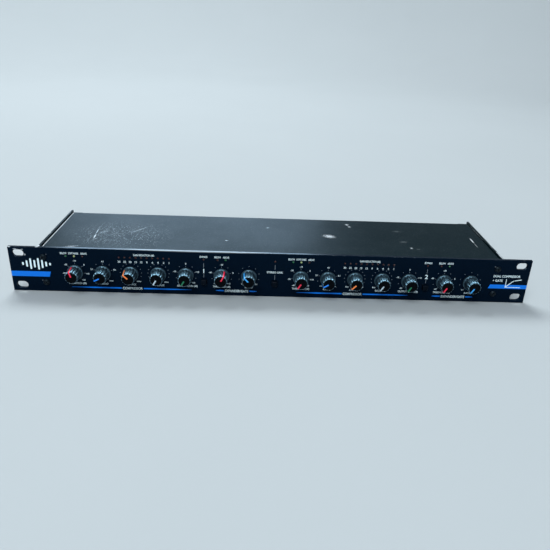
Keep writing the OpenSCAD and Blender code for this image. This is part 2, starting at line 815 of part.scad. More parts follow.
module transformer_coil() {
    color([0.8, 0.6, 0.2]) translate(transformer) difference() {
        cube(coil, center = true);
        cube([2 * core_leg + coil_gap, coil[1] + 2 * over, core[2] + coil_gap], center = true);
    }
}

module transformer_screws() {
    top = transformer[2] + core[2] / 2;
    color([0.7, 0.7, 0.72]) for (p = CORE_HOLES)
        translate([transformer[0] + p[0], transformer[1] + p[1], top])
            pan_screw(top - floor_z - 0.4, core_screw_r, 3.2, 2.2);
}

module transformer_spacers() {
    height = transformer[2] - core[2] / 2 - tray_floor_z;
    color([0.75, 0.75, 0.75]) for (p = CORE_HOLES)
        translate([transformer[0] + p[0], transformer[1] + p[1], tray_floor_z]) difference() {
            cylinder(h = height, r = 3.5);
            translate([0, 0, -over]) cylinder(h = height + 2 * over, r = core_hole_r);
        }
}

module filter_capacitors() {
    color([0.1, 0.12, 0.3]) for (p = FILTER_CAPS) translate([p[0], p[1], board_top]) {
        cylinder(h = 23.4, r = 8);
        translate([0, 0, 23.4]) cylinder(h = 0.8, r1 = 8, r2 = 7.2);
    }
}

module heatsink() {
    depth = 40;
    height = 25;
    color([0.7, 0.72, 0.74]) translate([heatsink_x, 48 - depth / 2, board_top]) {
        cube([3, depth, height]);
        for (i = [0:5]) translate([-9, i * (depth - 1.6) / 5, 0]) cube([9 + 0.5, 1.6, height]);
    }
}

module voltage_regulators() {
    color([0.07, 0.07, 0.08]) for (y = REGULATORS_Y) translate([heatsink_x + 3, y, board_top]) {
        translate([0, -5, 5]) cube([4.4, 10, 9]);
        translate([0, -5, 14]) cube([1.3, 10, 6.4]);
        for (i = [-1:1]) translate([2.2, i * 2.54 - 0.4, 0]) cube([0.6, 0.8, 5]);
    }
}

module chips() {
    color([0.06, 0.06, 0.07]) for (x = CHIPS_X) for (y = PARTS_Y) translate([x, y, board_top]) {
        translate([0, 0, chip_lift]) centred_box(chip);
        for (side = [-1, 1]) translate([side * chip[0] / 2, 0, 0]) centred_box([0.5, 18.3, 2.2]);
    }
}

module signal_capacitors() {
    color([0.15, 0.2, 0.5]) for (x = CHIPS_X) for (y = PARTS_Y) for (dy = [-6, 6])
        translate([x + 13, y + dy, board_top]) cylinder(h = 8, r = 2.5, $fn = 24);
}

module fuse() {
    color([0.85, 0.87, 0.9]) translate([fuse_at[0], fuse_at[1], board_top + 5]) rotate([0, 90, 0])
        cylinder(h = 20, r = 2.5, center = true);
}

module fuse_clips() {
    color([0.75, 0.72, 0.6]) for (side = [-1, 1])
        translate([fuse_at[0] + side * 7.5, fuse_at[1], board_top]) difference() {
            translate([-2, -3.6, 0]) cube([4, 7.2, 7.5]);
            translate([0, 0, 5]) rotate([0, 90, 0]) cylinder(h = 6, r = 2.52, center = true);
            translate([-3, -1.9, 5]) cube([6, 3.8, 4]);
        }
}

// Wires from the inlet's pins to the switch, the transformer and the earth stud
module mains_wires() {
    tab_y = rear_face + inlet_flange[2] - pin_recess - pin_size[2] - 0.05;
    terminal_y = rear_face - rocker_body[2] + 2 - terminal_size[2] - 0.05;
    low = socket_z + INLET_PINS[0][1];
    high = socket_z + INLET_PINS[1][1];
    coil_x = transformer[0] + coil[0] / 2;
    color([0.35, 0.2, 0.1]) wire([
        [inlet_x + 7, tab_y, low],
        [inlet_x + 7, tab_y - 3, low],
        [rocker_x - 4, tab_y - 3, low],
        [rocker_x, terminal_y - 4, socket_z + TERMINAL_Z[0]],
        [rocker_x, terminal_y, socket_z + TERMINAL_Z[0]],
    ]);
    color([0.35, 0.2, 0.1]) wire([
        [rocker_x, terminal_y, socket_z + TERMINAL_Z[1]],
        [rocker_x, terminal_y - 8, socket_z + TERMINAL_Z[1]],
        [rocker_x - 8, transformer[1], 12],
        [coil_x + 0.05, transformer[1], 12],
    ]);
    color([0.1, 0.3, 0.7]) wire([
        [inlet_x - 7, tab_y, low],
        [inlet_x - 7, tab_y - 3.2, low],
        [inlet_x - 7, tab_y - 3.2, 12],
        [inlet_x - 7, transformer[1] + coil[1] / 2 + 0.05, 12],
    ]);
    color([0.2, 0.6, 0.2]) wire([
        [inlet_x, tab_y, high],
        [inlet_x, tab_y - 4.5, high],
        [inlet_x, tab_y - 4.5, -12],
        [earth_at[0] + 14, earth_at[1], lug_z],
        [earth_at[0] + lug_reach + 0.05, earth_at[1], lug_z],
    ]);
}

module secondary_wires() {
    coil_x = transformer[0] - coil[0] / 2;
    color([0.7, 0.1, 0.1]) for (y = [for (i = [-1:1]) transformer[1] + i * 5]) wire([
        [coil_x - 0.05, y, 12],
        [coil_x - 18, y, 12],
        [board_right - 4, y, 4],
        [board_right - 4, y, board_top + 0.05],
    ], 0.9);
}

// Stud with two nuts that clamp the earth wire's lug to the tray
module earth_stud() {
    nut_h = 2.4;
    lug_t = 0.8;
    lug_bottom = tray_floor_z + nut_h + 2 * fit_gap;
    color([0.8, 0.75, 0.4]) translate([earth_at[0], earth_at[1], 0]) {
        translate([0, 0, floor_z + 0.2]) cylinder(h = 12, r = screw_r);
        for (z = [tray_floor_z + fit_gap, lug_bottom + lug_t + fit_gap]) translate([0, 0, z]) difference() {
            cylinder(h = nut_h, r = 3.1, $fn = 6);
            translate([0, 0, -over]) cylinder(h = nut_h + 2 * over, r = tapped_r);
        }
        difference() {
            union() {
                translate([0, 0, lug_bottom]) cylinder(h = lug_t, r = 3.5);
                translate([0, -1, lug_bottom]) cube([lug_reach - 3, 2, lug_t]);
                translate([lug_reach - 3.5, 0, lug_z]) rotate([0, 90, 0]) cylinder(h = 3.5, r = 1.3);
            }
            translate([0, 0, lug_bottom - over]) cylinder(h = lug_t + 2 * over, r = tapped_r);
        }
    }
}

front_panel();
chassis_tray();
top_cover();
rear_panel();
front_panel_screws();
rear_panel_screws();
cover_screws();
main_board();
board_standoffs();
board_screws();
lamp_board();
lamp_board_posts();
for (c = CHANNELS) for (k = [0:len(KNOBS) - 1]) {
    control_knob(c, k);
}
pot_bodies();
bypass_button_1();
bypass_button_2();
couple_button();
button_switches();
red_lamps();
green_lamps();
yellow_lamps();
input_jacks();
output_jacks();
sidechain_jacks();
jack_nuts();
level_button_1();
level_button_2();
level_switches();
mains_inlet();
inlet_pins();
inlet_screws();
power_rocker();
rocker_frame();
transformer_core();
transformer_coil();
transformer_screws();
transformer_spacers();
filter_capacitors();
voltage_regulators();
heatsink();
chips();
signal_capacitors();
fuse();
fuse_clips();
mains_wires();
secondary_wires();
earth_stud();
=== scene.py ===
"""Looks of the two-channel rack compressor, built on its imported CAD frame.

Sizes in this file are in millimetres, in the CAD frame: +X right, +Y back into the rack, +Z up.
MM turns them into the metres that Blender holds.
"""
import json
import math
import random
from collections import defaultdict

import bmesh
import bpy
from mathutils import Matrix, Vector
from mathutils.bvhtree import BVHTree


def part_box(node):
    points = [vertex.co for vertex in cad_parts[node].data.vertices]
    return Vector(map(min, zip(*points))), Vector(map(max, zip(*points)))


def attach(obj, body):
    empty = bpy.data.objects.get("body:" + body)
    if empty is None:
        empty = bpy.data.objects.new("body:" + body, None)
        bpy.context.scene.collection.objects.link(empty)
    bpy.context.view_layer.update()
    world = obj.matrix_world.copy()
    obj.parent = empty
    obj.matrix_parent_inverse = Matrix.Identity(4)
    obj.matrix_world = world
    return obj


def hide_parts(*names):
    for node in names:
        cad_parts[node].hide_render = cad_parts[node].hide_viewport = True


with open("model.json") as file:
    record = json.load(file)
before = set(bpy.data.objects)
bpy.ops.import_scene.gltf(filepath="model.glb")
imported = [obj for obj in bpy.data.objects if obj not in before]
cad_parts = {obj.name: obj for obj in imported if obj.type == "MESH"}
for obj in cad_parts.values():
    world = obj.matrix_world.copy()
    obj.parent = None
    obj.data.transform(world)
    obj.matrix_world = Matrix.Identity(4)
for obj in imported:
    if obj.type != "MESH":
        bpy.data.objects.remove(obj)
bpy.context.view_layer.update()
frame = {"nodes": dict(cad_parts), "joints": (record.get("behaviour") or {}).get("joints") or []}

MM = 0.001
CASE = "case"
CHANNELS = (1, 2)
KINDS = ("threshold", "ratio", "attack", "release", "output", "gate_threshold", "gate_ratio")
JACKS = ("sidechain", "output", "input")
TURN_LIMIT = 150

# Camera, at the photograph's viewing angle
CAMERA_AZIMUTH = 1.87
CAMERA_ELEVATION = 25.05
CAMERA_ROLL = 2.32
CAMERA_DISTANCE = 533.5
CAMERA_TARGET = (2.15, -3.0, 0.66)
FOCAL_PIXELS = 572.3
IMAGE_PIXELS = 550
SENSOR_WIDTH = 36

# Knobs
SKIRT_RADIUS = 7.25
SKIRT_LENGTH = 2.8
BACK_RADIUS = SKIRT_RADIUS - 0.3
GRIP_RADIUS = 6.72
TIP_RADIUS = 6.05
FLUTES = 14
FLUTE_STEPS = 14
FLUTE_RADIUS = 1.5
FLUTE_DEPTH = 0.52
POINTER_WIDTH = 1.4
SHAFT_RADIUS = 3.0
KNOB_GAP = 0.3
SOLID_TIP = 3.0
SHAFT_GAP = 0.1

# Printing on the panels. INK_LAYERS is how many times INK_HEIGHT each ink stands.
INK_HEIGHT = 0.03
INK_LAYERS = {"blue": 1.0, "grey": 1.0, "white": 1.5, "pale": 1.7}
MARK_RADIUS = 10.9
DOT_CIRCLE = 9.7
DOT_RADIUS = 0.32
TICK_WIDTH = 0.25
RULE_WIDTH = 0.3
LABEL_HEIGHT = 1.9
LAMP_WORD_Z = 17.0
KNOB_NAME_Z = -12.9
END_WORD_X = 5.0
END_WORD_Z = -8.3
SCALE_HEIGHT = 1.55
TEXT_CAP_SHARE = 0.729
TEXT_BOLDNESS = 0.018

# From the axis of a jack down to the lowest side of its nut
NUT_REACH = 6.235


# -------- places from the frame

def box_mm(node):
    low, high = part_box(node)
    return low / MM, high / MM


def solids_of(node):
    """Lowest and highest corners of each separate solid in a CAD node, from left to right."""
    mesh = bmesh.new()
    mesh.from_mesh(frame["nodes"][node].data)
    bmesh.ops.remove_doubles(mesh, verts=mesh.verts, dist=1e-6)
    left = set(mesh.verts)
    found = []
    while left:
        group, edge = [], [left.pop()]
        while edge:
            vert = edge.pop()
            group.append(vert.co / MM)
            for link in vert.link_edges:
                other = link.other_vert(vert)
                if other in left:
                    left.remove(other)
                    edge.append(other)
        corners = [Vector([end(co[i] for co in group) for i in range(3)]) for end in (min, max)]
        found.append(corners)
    mesh.free()
    return sorted(found, key=lambda pair: (round(pair[0].x + pair[1].x, 3), pair[0].z))


def middles(node):
    return [(low + high) / 2 for low, high in solids_of(node)]


JOINTS = {joint["name"]: joint for joint in frame["joints"]}


def knob_place(kind, channel):
    """Centre of a knob's axis, and how far its pointer is turned clockwise from straight up."""
    joint = JOINTS[f"{kind}_turn_{channel}"]
    x, _, z = joint["pos_m"]
    return x / MM, z / MM, -TURN_LIMIT - joint["range_deg"][0]


NODE_SLOT = {node: source.data.materials[0].name for node, source in frame["nodes"].items()}
PANEL_LOW, PANEL_HIGH = box_mm("front_panel")
REAR_FACE = box_mm("rear_panel")[1].y
FRONT_FACE = PANEL_LOW.y
FLOOR_Z = PANEL_LOW.z
KNOB_FACE, SHAFT_END = (corner.y for corner in box_mm("knob_threshold_1"))


# -------- materials

class Graph:
    """A material's node tree, with short ways to add to it."""

    def __init__(self, name):
        self.material = bpy.data.materials.new(name)
        self.material.use_nodes = True
        self.tree = self.material.node_tree
        self.shader = self.tree.nodes["Principled BSDF"]
        self.place = self.add("ShaderNodeTexCoord").outputs["Object"]

    def put(self, socket, value):
        if isinstance(value, bpy.types.NodeSocket):
            self.tree.links.new(value, socket)
        elif socket.type == "RGBA" and len(value) == 3:
            socket.default_value = (*value, 1)
        else:
            socket.default_value = value

    def add(self, kind, inputs=None, **settings):
        node = self.tree.nodes.new(kind)
        for key, value in settings.items():
            setattr(node, key, value)
        for key, value in (inputs or {}).items():
            self.put(node.inputs[key], value)
        return node

    def painted(self, layer):
        """The number that a layer holds on the mesh's faces."""
        return self.add("ShaderNodeAttribute", attribute_name=layer).outputs["Fac"]

    def mapped(self, place, kind="POINT", **inputs):
        inputs["Vector"] = place
        return self.add("ShaderNodeMapping", inputs, vector_type=kind).outputs[0]

    def noise(self, size, detail=3.0, rough=0.55, stretch=None, place=None):
        """Noise whose grains are about size millimetres across."""
        place = self.place if place is None else place
        if stretch:
            place = self.mapped(place, Scale=stretch)
        inputs = {"Vector": place, "Scale": 1 / (size * MM), "Detail": detail, "Roughness": rough}
        return self.add("ShaderNodeTexNoise", inputs).outputs["Fac"]

    def ramp(self, value, low, high, out_low=0.0, out_high=1.0):
        inputs = {"Value": value, "From Min": low, "From Max": high}
        inputs |= {"To Min": out_low, "To Max": out_high}
        node = self.add("ShaderNodeMapRange", inputs, interpolation_type="SMOOTHSTEP")
        return node.outputs["Result"]

    def drift(self, noise, low, high):
        """Goes from low to high as the noise does."""
        return self.ramp(noise, 0.3, 0.7, low, high)

    def math(self, operation, a, b):
        return self.add("ShaderNodeMath", {0: a, 1: b}, operation=operation).outputs[0]

    def times(self, a, b):
        return self.math("MULTIPLY", a, b)

    def mix(self, factor, a, b):
        node = self.add("ShaderNodeMix", data_type="RGBA")
        self.put(node.inputs["Factor"], factor)
        self.put(node.inputs[6], a)
        self.put(node.inputs[7], b)
        return node.outputs[2]

    def bump(self, height, strength, depth):
        """Bump depth millimetres deep."""
        inputs = {"Height": height, "Strength": strength, "Distance": depth * MM}
        return self.add("ShaderNodeBump", inputs).outputs["Normal"]

    def upward(self):
        """How far the surface faces up, from -1 to 1."""
        normal = self.add("ShaderNodeNewGeometry").outputs["Normal"]
        return self.add("ShaderNodeSeparateXYZ", {"Vector": normal}).outputs["Z"]

    def worn_edges(self, amount, size):
        """1 on rounded edges where the finish has rubbed away, 0 elsewhere."""
        patches = self.ramp(self.noise(size, 4), 0.62 - 0.3 * amount, 0.72 - 0.2 * amount)
        return self.times(self.painted("edge"), patches)

    def dusty(self, base, size, amount, colour):
        """Dust whose specks are about size millimetres across."""
        return self.mix(self.ramp(self.noise(size, 5, 0.75), 0.7, 0.8, 0, amount), base, colour)

    def spot(self, centre, size, angle=0.0):
        """1 at the centre of an ellipsoid in millimetres, falling to 0 at its rim."""
        local = self.mapped(
            self.place, "TEXTURE", Location=[c * MM for c in centre],
            Rotation=(0, 0, math.radians(angle)), Scale=[s * MM for s in size],
        )
        node = self.add("ShaderNodeTexGradient", {"Vector": local}, gradient_type="SPHERICAL")
        return node.outputs["Fac"]

    def most(self, values):
        total = values[0]
        for value in values[1:]:
            total = self.math("MAXIMUM", total, value)
        return total

    def set(self, **values):
        for key, value in values.items():
            self.put(self.shader.inputs[key.replace("_", " ")], value)
        return self.material

    def finish(self, base, rough, normal, **values):
        return self.set(Base_Color=base, Roughness=rough, Normal=normal, **values)


def scuffed(graph, spots, broken, grain=0.9):
    """Mask of scuffs and painted glints, each (centre, size, angle, strength). broken is how much
    noise eats them.
    """
    gaps = graph.ramp(graph.noise(grain, 5, 0.7), 0.35, 0.62, 0.0, broken)
    marks = []
    for centre, size, angle, strength in spots:
        core = graph.math("SUBTRACT", graph.spot(centre, size, angle), gaps)
        marks.append(graph.times(graph.ramp(core, 0.0, 0.45), strength))
    return graph.most(marks)


def hairlines(graph, angle, width, length, share):
    """Fine straight scratches that all run at about one angle. share is how many show."""
    turned = graph.mapped(graph.place, Rotation=(0, 0, math.radians(angle)))
    value = graph.noise(width, 2.0, 0.4, (width / length, 1, 1), turned)
    return graph.ramp(value, 0.76 - 0.12 * share, 0.84 - 0.12 * share)


def make_panel_black():
    """Smooth bluish black of both panels, with scuffs and with painted glints at a slot and along
    the worn top edge.
    """
    graph = Graph("panel_black")
    smudge = graph.noise(26, 3)
    dust = graph.times(graph.ramp(graph.noise(0.8, 6, 0.75), 0.7, 0.78), 0.15)
    # A pale band on the top edge: partly rubbed paint, partly a painted highlight where the
    # lights' sheen falls.
    wear_and_highlight_centre, wear_and_highlight_size = (-72, FRONT_FACE + 1.5, PANEL_HIGH.z), (84, 3, 1.2)
    wear_and_highlight_band = graph.ramp(graph.spot(wear_and_highlight_centre, wear_and_highlight_size), 0.0, 0.5, 0, 0.4)
    base = graph.mix(smudge, (0.0006, 0.0040, 0.0110), (0.0010, 0.0052, 0.0140))
    base = graph.mix(dust, base, (0.03, 0.035, 0.04))
    # Pale scuffs, and painted glints along the rim of the upper left slot.
    base = graph.mix(scuffed(graph, panel_scuffs(), 0.45), base, (0.55, 0.6, 0.65))
    base = graph.mix(graph.worn_edges(0.15, 4), base, (0.06, 0.07, 0.08))
    # Mixes in the top edge's band of wear and painted highlight.
    base = graph.mix(wear_and_highlight_band, base, (0.46, 0.5, 0.53))
    upper = graph.ramp(graph.upward(), 0.5, 0.8)
    rough = graph.math("SUBTRACT", graph.drift(smudge, 0.3, 0.36), graph.times(upper, 0.15))
    normal = graph.bump(graph.noise(0.35, 2), 0.12, 0.02)
    gloss = {"Specular_IOR_Level": 0.12, "Specular_Tint": (0.5, 0.85, 1, 1)}
    return graph.finish(base, rough, normal, IOR=graph.ramp(upper, 0, 1, 1.25, 1.3), **gloss)


# Rows of wear and painted glints: its middle, its reach both ways, its angle and its strength.
# These give x and z.
PANEL_SCUFFS_AND_GLINTS = [
    # The first three rows are painted glints along the rim of the upper left rack slot.
    (-234.5, 20.0, 3.4, 0.5, 0, 0.9), (-228.6, 19.6, 2.2, 0.45, 0, 0.7),
    (-226.2, 14.6, 0.9, 1.3, 0, 0.8), (-207.2, 15.4, 0.7, 0.6, 0, 0.5),
    (-213.4, -11.0, 0.45, 0.7, 0, 0.4), (207.4, 15.0, 0.8, 0.6, 0, 0.5),
    (228.2, -17.4, 0.7, 1.4, 0, 0.6),
]
# These give x and y.
COVER_SMEARS = [
    (-172.2, 33.0, 9.0, 1.25, 93, 1.0), (-170.0, 27.0, 5.0, 0.8, 60, 0.5),
    (-166.0, 46.0, 8.5, 4.4, 62, 0.16), (-186.5, 6.6, 9.5, 2.0, 12, 0.55),
    (-198.0, 3.5, 4.0, 1.2, 4, 0.4), (-45.0, 31.8, 2.2, 1.5, 8, 0.85),
    (-4.9, 70.4, 3.0, 3.6, 0, 0.22), (56.8, 50.6, 9.8, 6.6, -24, 0.85),
    (79.0, 86.2, 3.2, 3.4, 20, 0.85), (81.0, 80.0, 2.6, 2.8, 0, 0.7),
    (134.4, 25.2, 2.4, 2.6, 40, 0.8), (140.4, 23.0, 3.6, 1.2, 0, 0.25),
    (130.0, 41.0, 6.5, 1.6, 6, 0.22), (129.0, 70.0, 7.0, 3.0, 0, 0.1),
]
COVER_SCRATCHES = [
    (-173.3, 47.0, 8.0, 0.6, 93, 0.7), (-134.6, 52.4, 16.5, 0.5, 53, 0.55),
    (-153.0, 41.0, 10.0, 0.4, 20, 0.35), (201.65, 50.0, 9.4, 0.95, 90, 0.9),
    (201.5, 36.5, 7.0, 0.5, 92, 0.45),
]


def panel_scuffs():
    """Painted glints on the upper left slot's rim, scratches in the upper left corner and rubbed
    places by the screws.
    """
    face, top = FRONT_FACE, PANEL_HIGH.z
    return [
        *(((x, face, z), (w, 0.8, h), angle, much) for x, z, w, h, angle, much in PANEL_SCUFFS_AND_GLINTS),
        ((-240.0, face, top), (2.4, 1.2, 0.8), 0, 1.0),
        ((-215.0, face + 1.5, top), (2.6, 2.0, 0.6), 0, 0.8),
    ]


def on_cover(rows, top):
    """Rows of wear as spots at the cover's height."""
    deep = 1.5
    return [((x, y, top), (w, d, deep), angle, much) for x, y, w, d, angle, much in rows]


def cover_scratches():
    """The long scratches, with short faint ones among them."""
    rows = list(COVER_SCRATCHES)
    draw = random.Random(11)
    for _ in range(12):
        x, y, length = draw.uniform(-176, -132), draw.uniform(20, 58), draw.uniform(3, 8)
        rows.append((x, y, length, 0.25, draw.uniform(40, 100), draw.uniform(0.15, 0.35)))
    return rows


def rubbed_edges(top, wall):
    """Edges of the cover and the side walls where the paint has rubbed through, and painted
    highlights along the cover's bends.
    """
    return [
        # A painted highlight along the cover's left bend, where it meets the wall.
        ((-212.45, 50.0, top), (1.15, 130.0, 0.9), 0, 0.95),
        ((-215.4, 2.0, wall), (1.4, 5.0, 2.2), 0, 1.0),
        ((-215.6, 36.0, wall), (0.8, 4.0, 1.0), 0, 0.5),
        ((215.2, 10.0, wall), (0.6, 15.0, 0.9), 0, 1.0),
        ((215.3, 34.0, wall), (0.45, 9.0, 0.9), 0, 0.45),
        # A painted highlight along the cover's right bend.
        ((213.7, 74.0, top), (0.7, 40.0, 0.8), 0, 0.4),
    ]


def make_case_paint():
    """Fine-textured paint of the tray and the top cover, worn by handling, with painted highlights
    along the cover's bends.
    """
    graph = Graph("case_paint")
    top, wall = box_mm("top_cover")[1].z, box_mm("chassis_tray")[1].z
    cloud = graph.noise(38, 5, 0.6)
    wiped = graph.noise(2.2, 4, 0.65, (0.05, 1, 1))
    combed = graph.noise(2.6, 4, 0.65, (1, 0.07, 1))
    dust = graph.ramp(graph.noise(0.8, 6, 0.75), 0.64, 0.78, 0, 0.2)
    runs = ((8, 0.35, 14, 0.5), (64, 0.35, 9, 0.45), (118, 0.3, 8, 0.4))
    fine = graph.most([hairlines(graph, *run) for run in runs])
    specks = graph.ramp(graph.noise(1.1, 2, 0.6), 0.62, 0.67)
    handled = graph.ramp(graph.spot((-148, 40, top), (62, 46, 30)), 0.0, 0.8, 0.05, 0.75)
    base = graph.mix(cloud, (0.0006, 0.0050, 0.0074), (0.0014, 0.0074, 0.0106))
    base = graph.mix(dust, base, (0.06, 0.068, 0.075))
    base = graph.mix(graph.times(fine, handled), base, (0.3, 0.33, 0.36))
    base = graph.mix(graph.times(specks, handled), base, (0.44, 0.48, 0.52))
    base = graph.mix(graph.worn_edges(0.4, 3), base, (0.05, 0.056, 0.062))
    marks = graph.most([
        scuffed(graph, on_cover(COVER_SMEARS, top), 0.62, 1.0),
        scuffed(graph, on_cover(cover_scratches(), top), 0.25),
        scuffed(graph, rubbed_edges(top, wall), 0.3, 2.5),
    ])
    # Pale scuffs and scratches, and painted highlights along the cover's bends.
    base = graph.mix(marks, base, (0.46, 0.49, 0.52))
    streaks = graph.math("ADD", graph.drift(wiped, 0, 0.005), graph.drift(combed, 0, 0.003))
    index = graph.math("ADD", graph.ramp(cloud, 0.35, 0.65, 1.074, 1.084), streaks)
    normal = graph.bump(graph.noise(0.55, 3, 0.6), 0.3, 0.05)
    return graph.finish(base, graph.drift(wiped, 0.33, 0.37), normal, IOR=index)


def make_plastic(name, colour, roughness, texture=0.15, wear=0.3, shine=0.5):
    """Moulded plastic with a fine spark-eroded grain, handled smooth in places."""
    graph = Graph(name)
    handled = graph.noise(7, 3)
    lighter = [min(1, c * 1.5 + 0.002) for c in colour]
    base = graph.mix(graph.ramp(handled, 0.35, 0.75, 0, 0.6), colour, lighter)
    base = graph.mix(graph.worn_edges(wear, 1.0), base, [min(1, c * 2 + 0.05) for c in colour])
    base = graph.dusty(base, 0.5, 0.25, [min(1, c + 0.09) for c in colour])
    rough = graph.drift(handled, roughness - 0.06, roughness + 0.08)
    normal = graph.bump(graph.noise(0.3, 2), texture, 0.02)
    return graph.finish(base, rough, normal, Specular_IOR_Level=shine)


def make_knob_black():
    """Glossy moulded grip with a matte face, and bluish where the light catches it."""
    graph = Graph("knob_black")
    face = graph.painted("matte")
    handled = graph.noise(4, 3)
    worn = (0.05, 0.06, 0.07)
    base = graph.mix(graph.ramp(handled, 0.35, 0.75), (0.004, 0.007, 0.01), (0.008, 0.013, 0.018))
    base = graph.dusty(base, 0.4, 0.2, worn)
    base = graph.mix(graph.worn_edges(0.3, 1.0), base, worn)
    base = graph.mix(face, base, (0.0025, 0.003, 0.004))
    rough = graph.math("ADD", graph.drift(handled, 0.36, 0.42), graph.times(face, 0.15))
    normal = graph.bump(graph.noise(0.3, 2), 0.08, 0.02)
    shine, index = graph.ramp(face, 0, 1, 1.0, 0.02), graph.ramp(face, 0, 1, 2.0, 1.4)
    graph.set(IOR=index, Specular_IOR_Level=shine, Specular_Tint=(0.45, 0.78, 1, 1))
    return graph.finish(base, rough, normal)


def make_metal(name, colour, roughness, brush=None):
    """Bare or plated metal, brushed along the axis whose stretch is small."""
    graph = Graph(name)
    lines = graph.noise(0.4, 3, 0.6, brush)
    stain = graph.ramp(graph.noise(5, 4), 0.45, 0.75, 0, 0.3)
    base = graph.mix(stain, colour, [c * 0.55 for c in colour])
    rough = graph.ramp(lines, 0.25, 0.75, roughness - 0.07, roughness + 0.12)
    return graph.finish(base, rough, graph.bump(lines, 0.1, 0.01), Metallic=1.0)


def make_screw_black():
    """Black oxide steel, slightly worn at the edges of the heads and recesses."""
    graph = Graph("black_steel")
    base = graph.mix(graph.worn_edges(0.35, 0.7), (0.0022, 0.0045, 0.008), (0.13, 0.15, 0.17))
    base = graph.mix(graph.ramp(graph.noise(0.6, 5), 0.6, 0.8, 0, 0.2), base, (0.03, 0.035, 0.04))
    normal = graph.bump(graph.noise(0.25, 2), 0.15, 0.02)
    graph.set(Specular_IOR_Level=0.2, Specular_Tint=(0.6, 0.88, 1, 1), Metallic=0.25)
    return graph.finish(base, graph.drift(graph.noise(1.2, 3), 0.3, 0.5), normal)


def make_ink(name, colour):
    """Screen-printed ink, thinner in places so that a little of the black shows through."""
    graph = Graph(name)
    thin = graph.ramp(graph.noise(0.5, 4, 0.7), 0.58, 0.8, 0, 0.35)
    base = graph.mix(thin, colour, [c * 0.45 for c in colour])
    rough = graph.drift(graph.noise(3, 3), 0.35, 0.5)
    normal = graph.bump(graph.noise(0.2, 2), 0.2, 0.01)
    return graph.finish(base, rough, normal, Specular_IOR_Level=0.2)


def make_lamp(name, colour, glow):
    """Tinted epoxy of an unlit lamp: clear skin over diffusing grains."""
    graph = Graph(name)
    base = graph.mix(graph.noise(0.7, 3), colour, [min(1, c * 1.4 + 0.02) for c in colour])
    graph.set(Subsurface_Weight=0.3, Subsurface_Radius=(0.002, 0.001, 0.001))
    graph.set(Emission_Color=base, Emission_Strength=glow, Specular_IOR_Level=0.4)
    rough = graph.drift(graph.noise(1.1, 2), 0.12, 0.22)
    return graph.finish(base, rough, graph.bump(graph.noise(0.4, 2), 0.05, 0.01))


def make_board():
    """Green solder mask over copper tracks that run both ways."""
    graph = Graph("board_green")
    along = graph.ramp(graph.noise(2.0, 1, 0.4, (0.15, 1, 1)), 0.5, 0.54)
    across = graph.ramp(graph.noise(2.2, 1, 0.4, (1, 0.15, 1)), 0.5, 0.54)
    tracks = graph.times(along, across)
    base = graph.mix(tracks, (0.012, 0.085, 0.035), (0.035, 0.17, 0.07))
    rough = graph.drift(graph.noise(4, 3), 0.25, 0.4)
    return graph.finish(base, rough, graph.bump(tracks, 0.5, 0.04), Coat_Weight=0.3)


def make_core():
    """Stacked iron laminations with a varnished, slightly rusty edge."""
    graph = Graph("core_iron")
    sheets = graph.noise(0.5, 1, 0.3, (0.02, 0.02, 1))
    rust = graph.ramp(graph.noise(6, 5), 0.55, 0.75, 0, 0.5)
    base = graph.mix(rust, (0.12, 0.12, 0.13), (0.16, 0.07, 0.03))
    normal = graph.bump(sheets, 0.6, 0.1)
    return graph.finish(base, graph.drift(sheets, 0.4, 0.6), normal, Metallic=0.7)


def make_tape():
    """Polyester tape wound round the coil, in overlapping turns."""
    graph = Graph("coil_tape")
    turns = graph.noise(3.5, 1, 0.2, (1, 0.04, 1))
    base = graph.mix(turns, (0.5, 0.33, 0.06), (0.72, 0.5, 0.12))
    return graph.finish(base, graph.drift(turns, 0.25, 0.4), graph.bump(turns, 0.5, 0.1))


def make_can_sleeve():
    """Shrunk blue sleeve with a pale stripe down one side of each can."""
    graph = Graph("capacitor_sleeve")
    stripe = graph.ramp(graph.noise(5, 0, 0.2, (1, 1, 0.05)), 0.55, 0.6)
    base = graph.mix(stripe, (0.02, 0.035, 0.15), (0.45, 0.47, 0.5))
    rough = graph.drift(graph.noise(3, 3), 0.2, 0.35)
    return graph.finish(base, rough, graph.bump(graph.noise(1.5, 3), 0.1, 0.05))


def make_glass():
    graph = Graph("fuse_glass")
    haze = graph.ramp(graph.noise(2, 4), 0.4, 0.8, 0.03, 0.18)
    graph.set(Transmission_Weight=0.9, IOR=1.5)
    return graph.set(Base_Color=(0.85, 0.88, 0.9), Roughness=haze)


def make_pot_case():
    graph = Graph("pot_case")
    mottle = graph.noise(1.5, 4)
    base = graph.mix(mottle, (0.035, 0.1, 0.065), (0.06, 0.15, 0.1))
    normal = graph.bump(graph.noise(0.3, 2), 0.2, 0.03)
    return graph.finish(base, graph.drift(mottle, 0.4, 0.55), normal)


def make_floor():
    graph = Graph("floor")
    cloud = graph.noise(400, 3)
    base = graph.mix(cloud, (0.35, 0.375, 0.39), (0.37, 0.395, 0.41))
    normal = graph.bump(graph.noise(3, 3), 0.04, 0.1)
    return graph.finish(base, graph.drift(cloud, 0.7, 0.8), normal, Specular_IOR_Level=0.0)


# Colour, roughness and the stretch that brushes it
METALS = {
    "bright_steel": ((0.6, 0.6, 0.61), 0.3, (1, 1, 0.1)),
    "brass_nickel": ((0.68, 0.6, 0.4), 0.32),
    "nickel_plate": ((0.66, 0.65, 0.62), 0.22, (1, 0.15, 1)),
    "spacer_aluminium": ((0.7, 0.7, 0.71), 0.35, (1, 1, 0.1)),
    "heatsink_aluminium": ((0.55, 0.56, 0.58), 0.4, (1, 0.1, 1)),
}
# Colour, roughness, texture, wear and shine
PLASTICS = {
    "button_black": ((0.0005, 0.0026, 0.0065), 0.4, 0.15, 0.1, 0.06),
    "moulded_black": ((0.014, 0.014, 0.015), 0.5),
    "moulded_grey": ((0.18, 0.18, 0.19), 0.5),
    "wire_sleeve": ((0.16, 0.08, 0.04), 0.45, 0.15, 0),
}
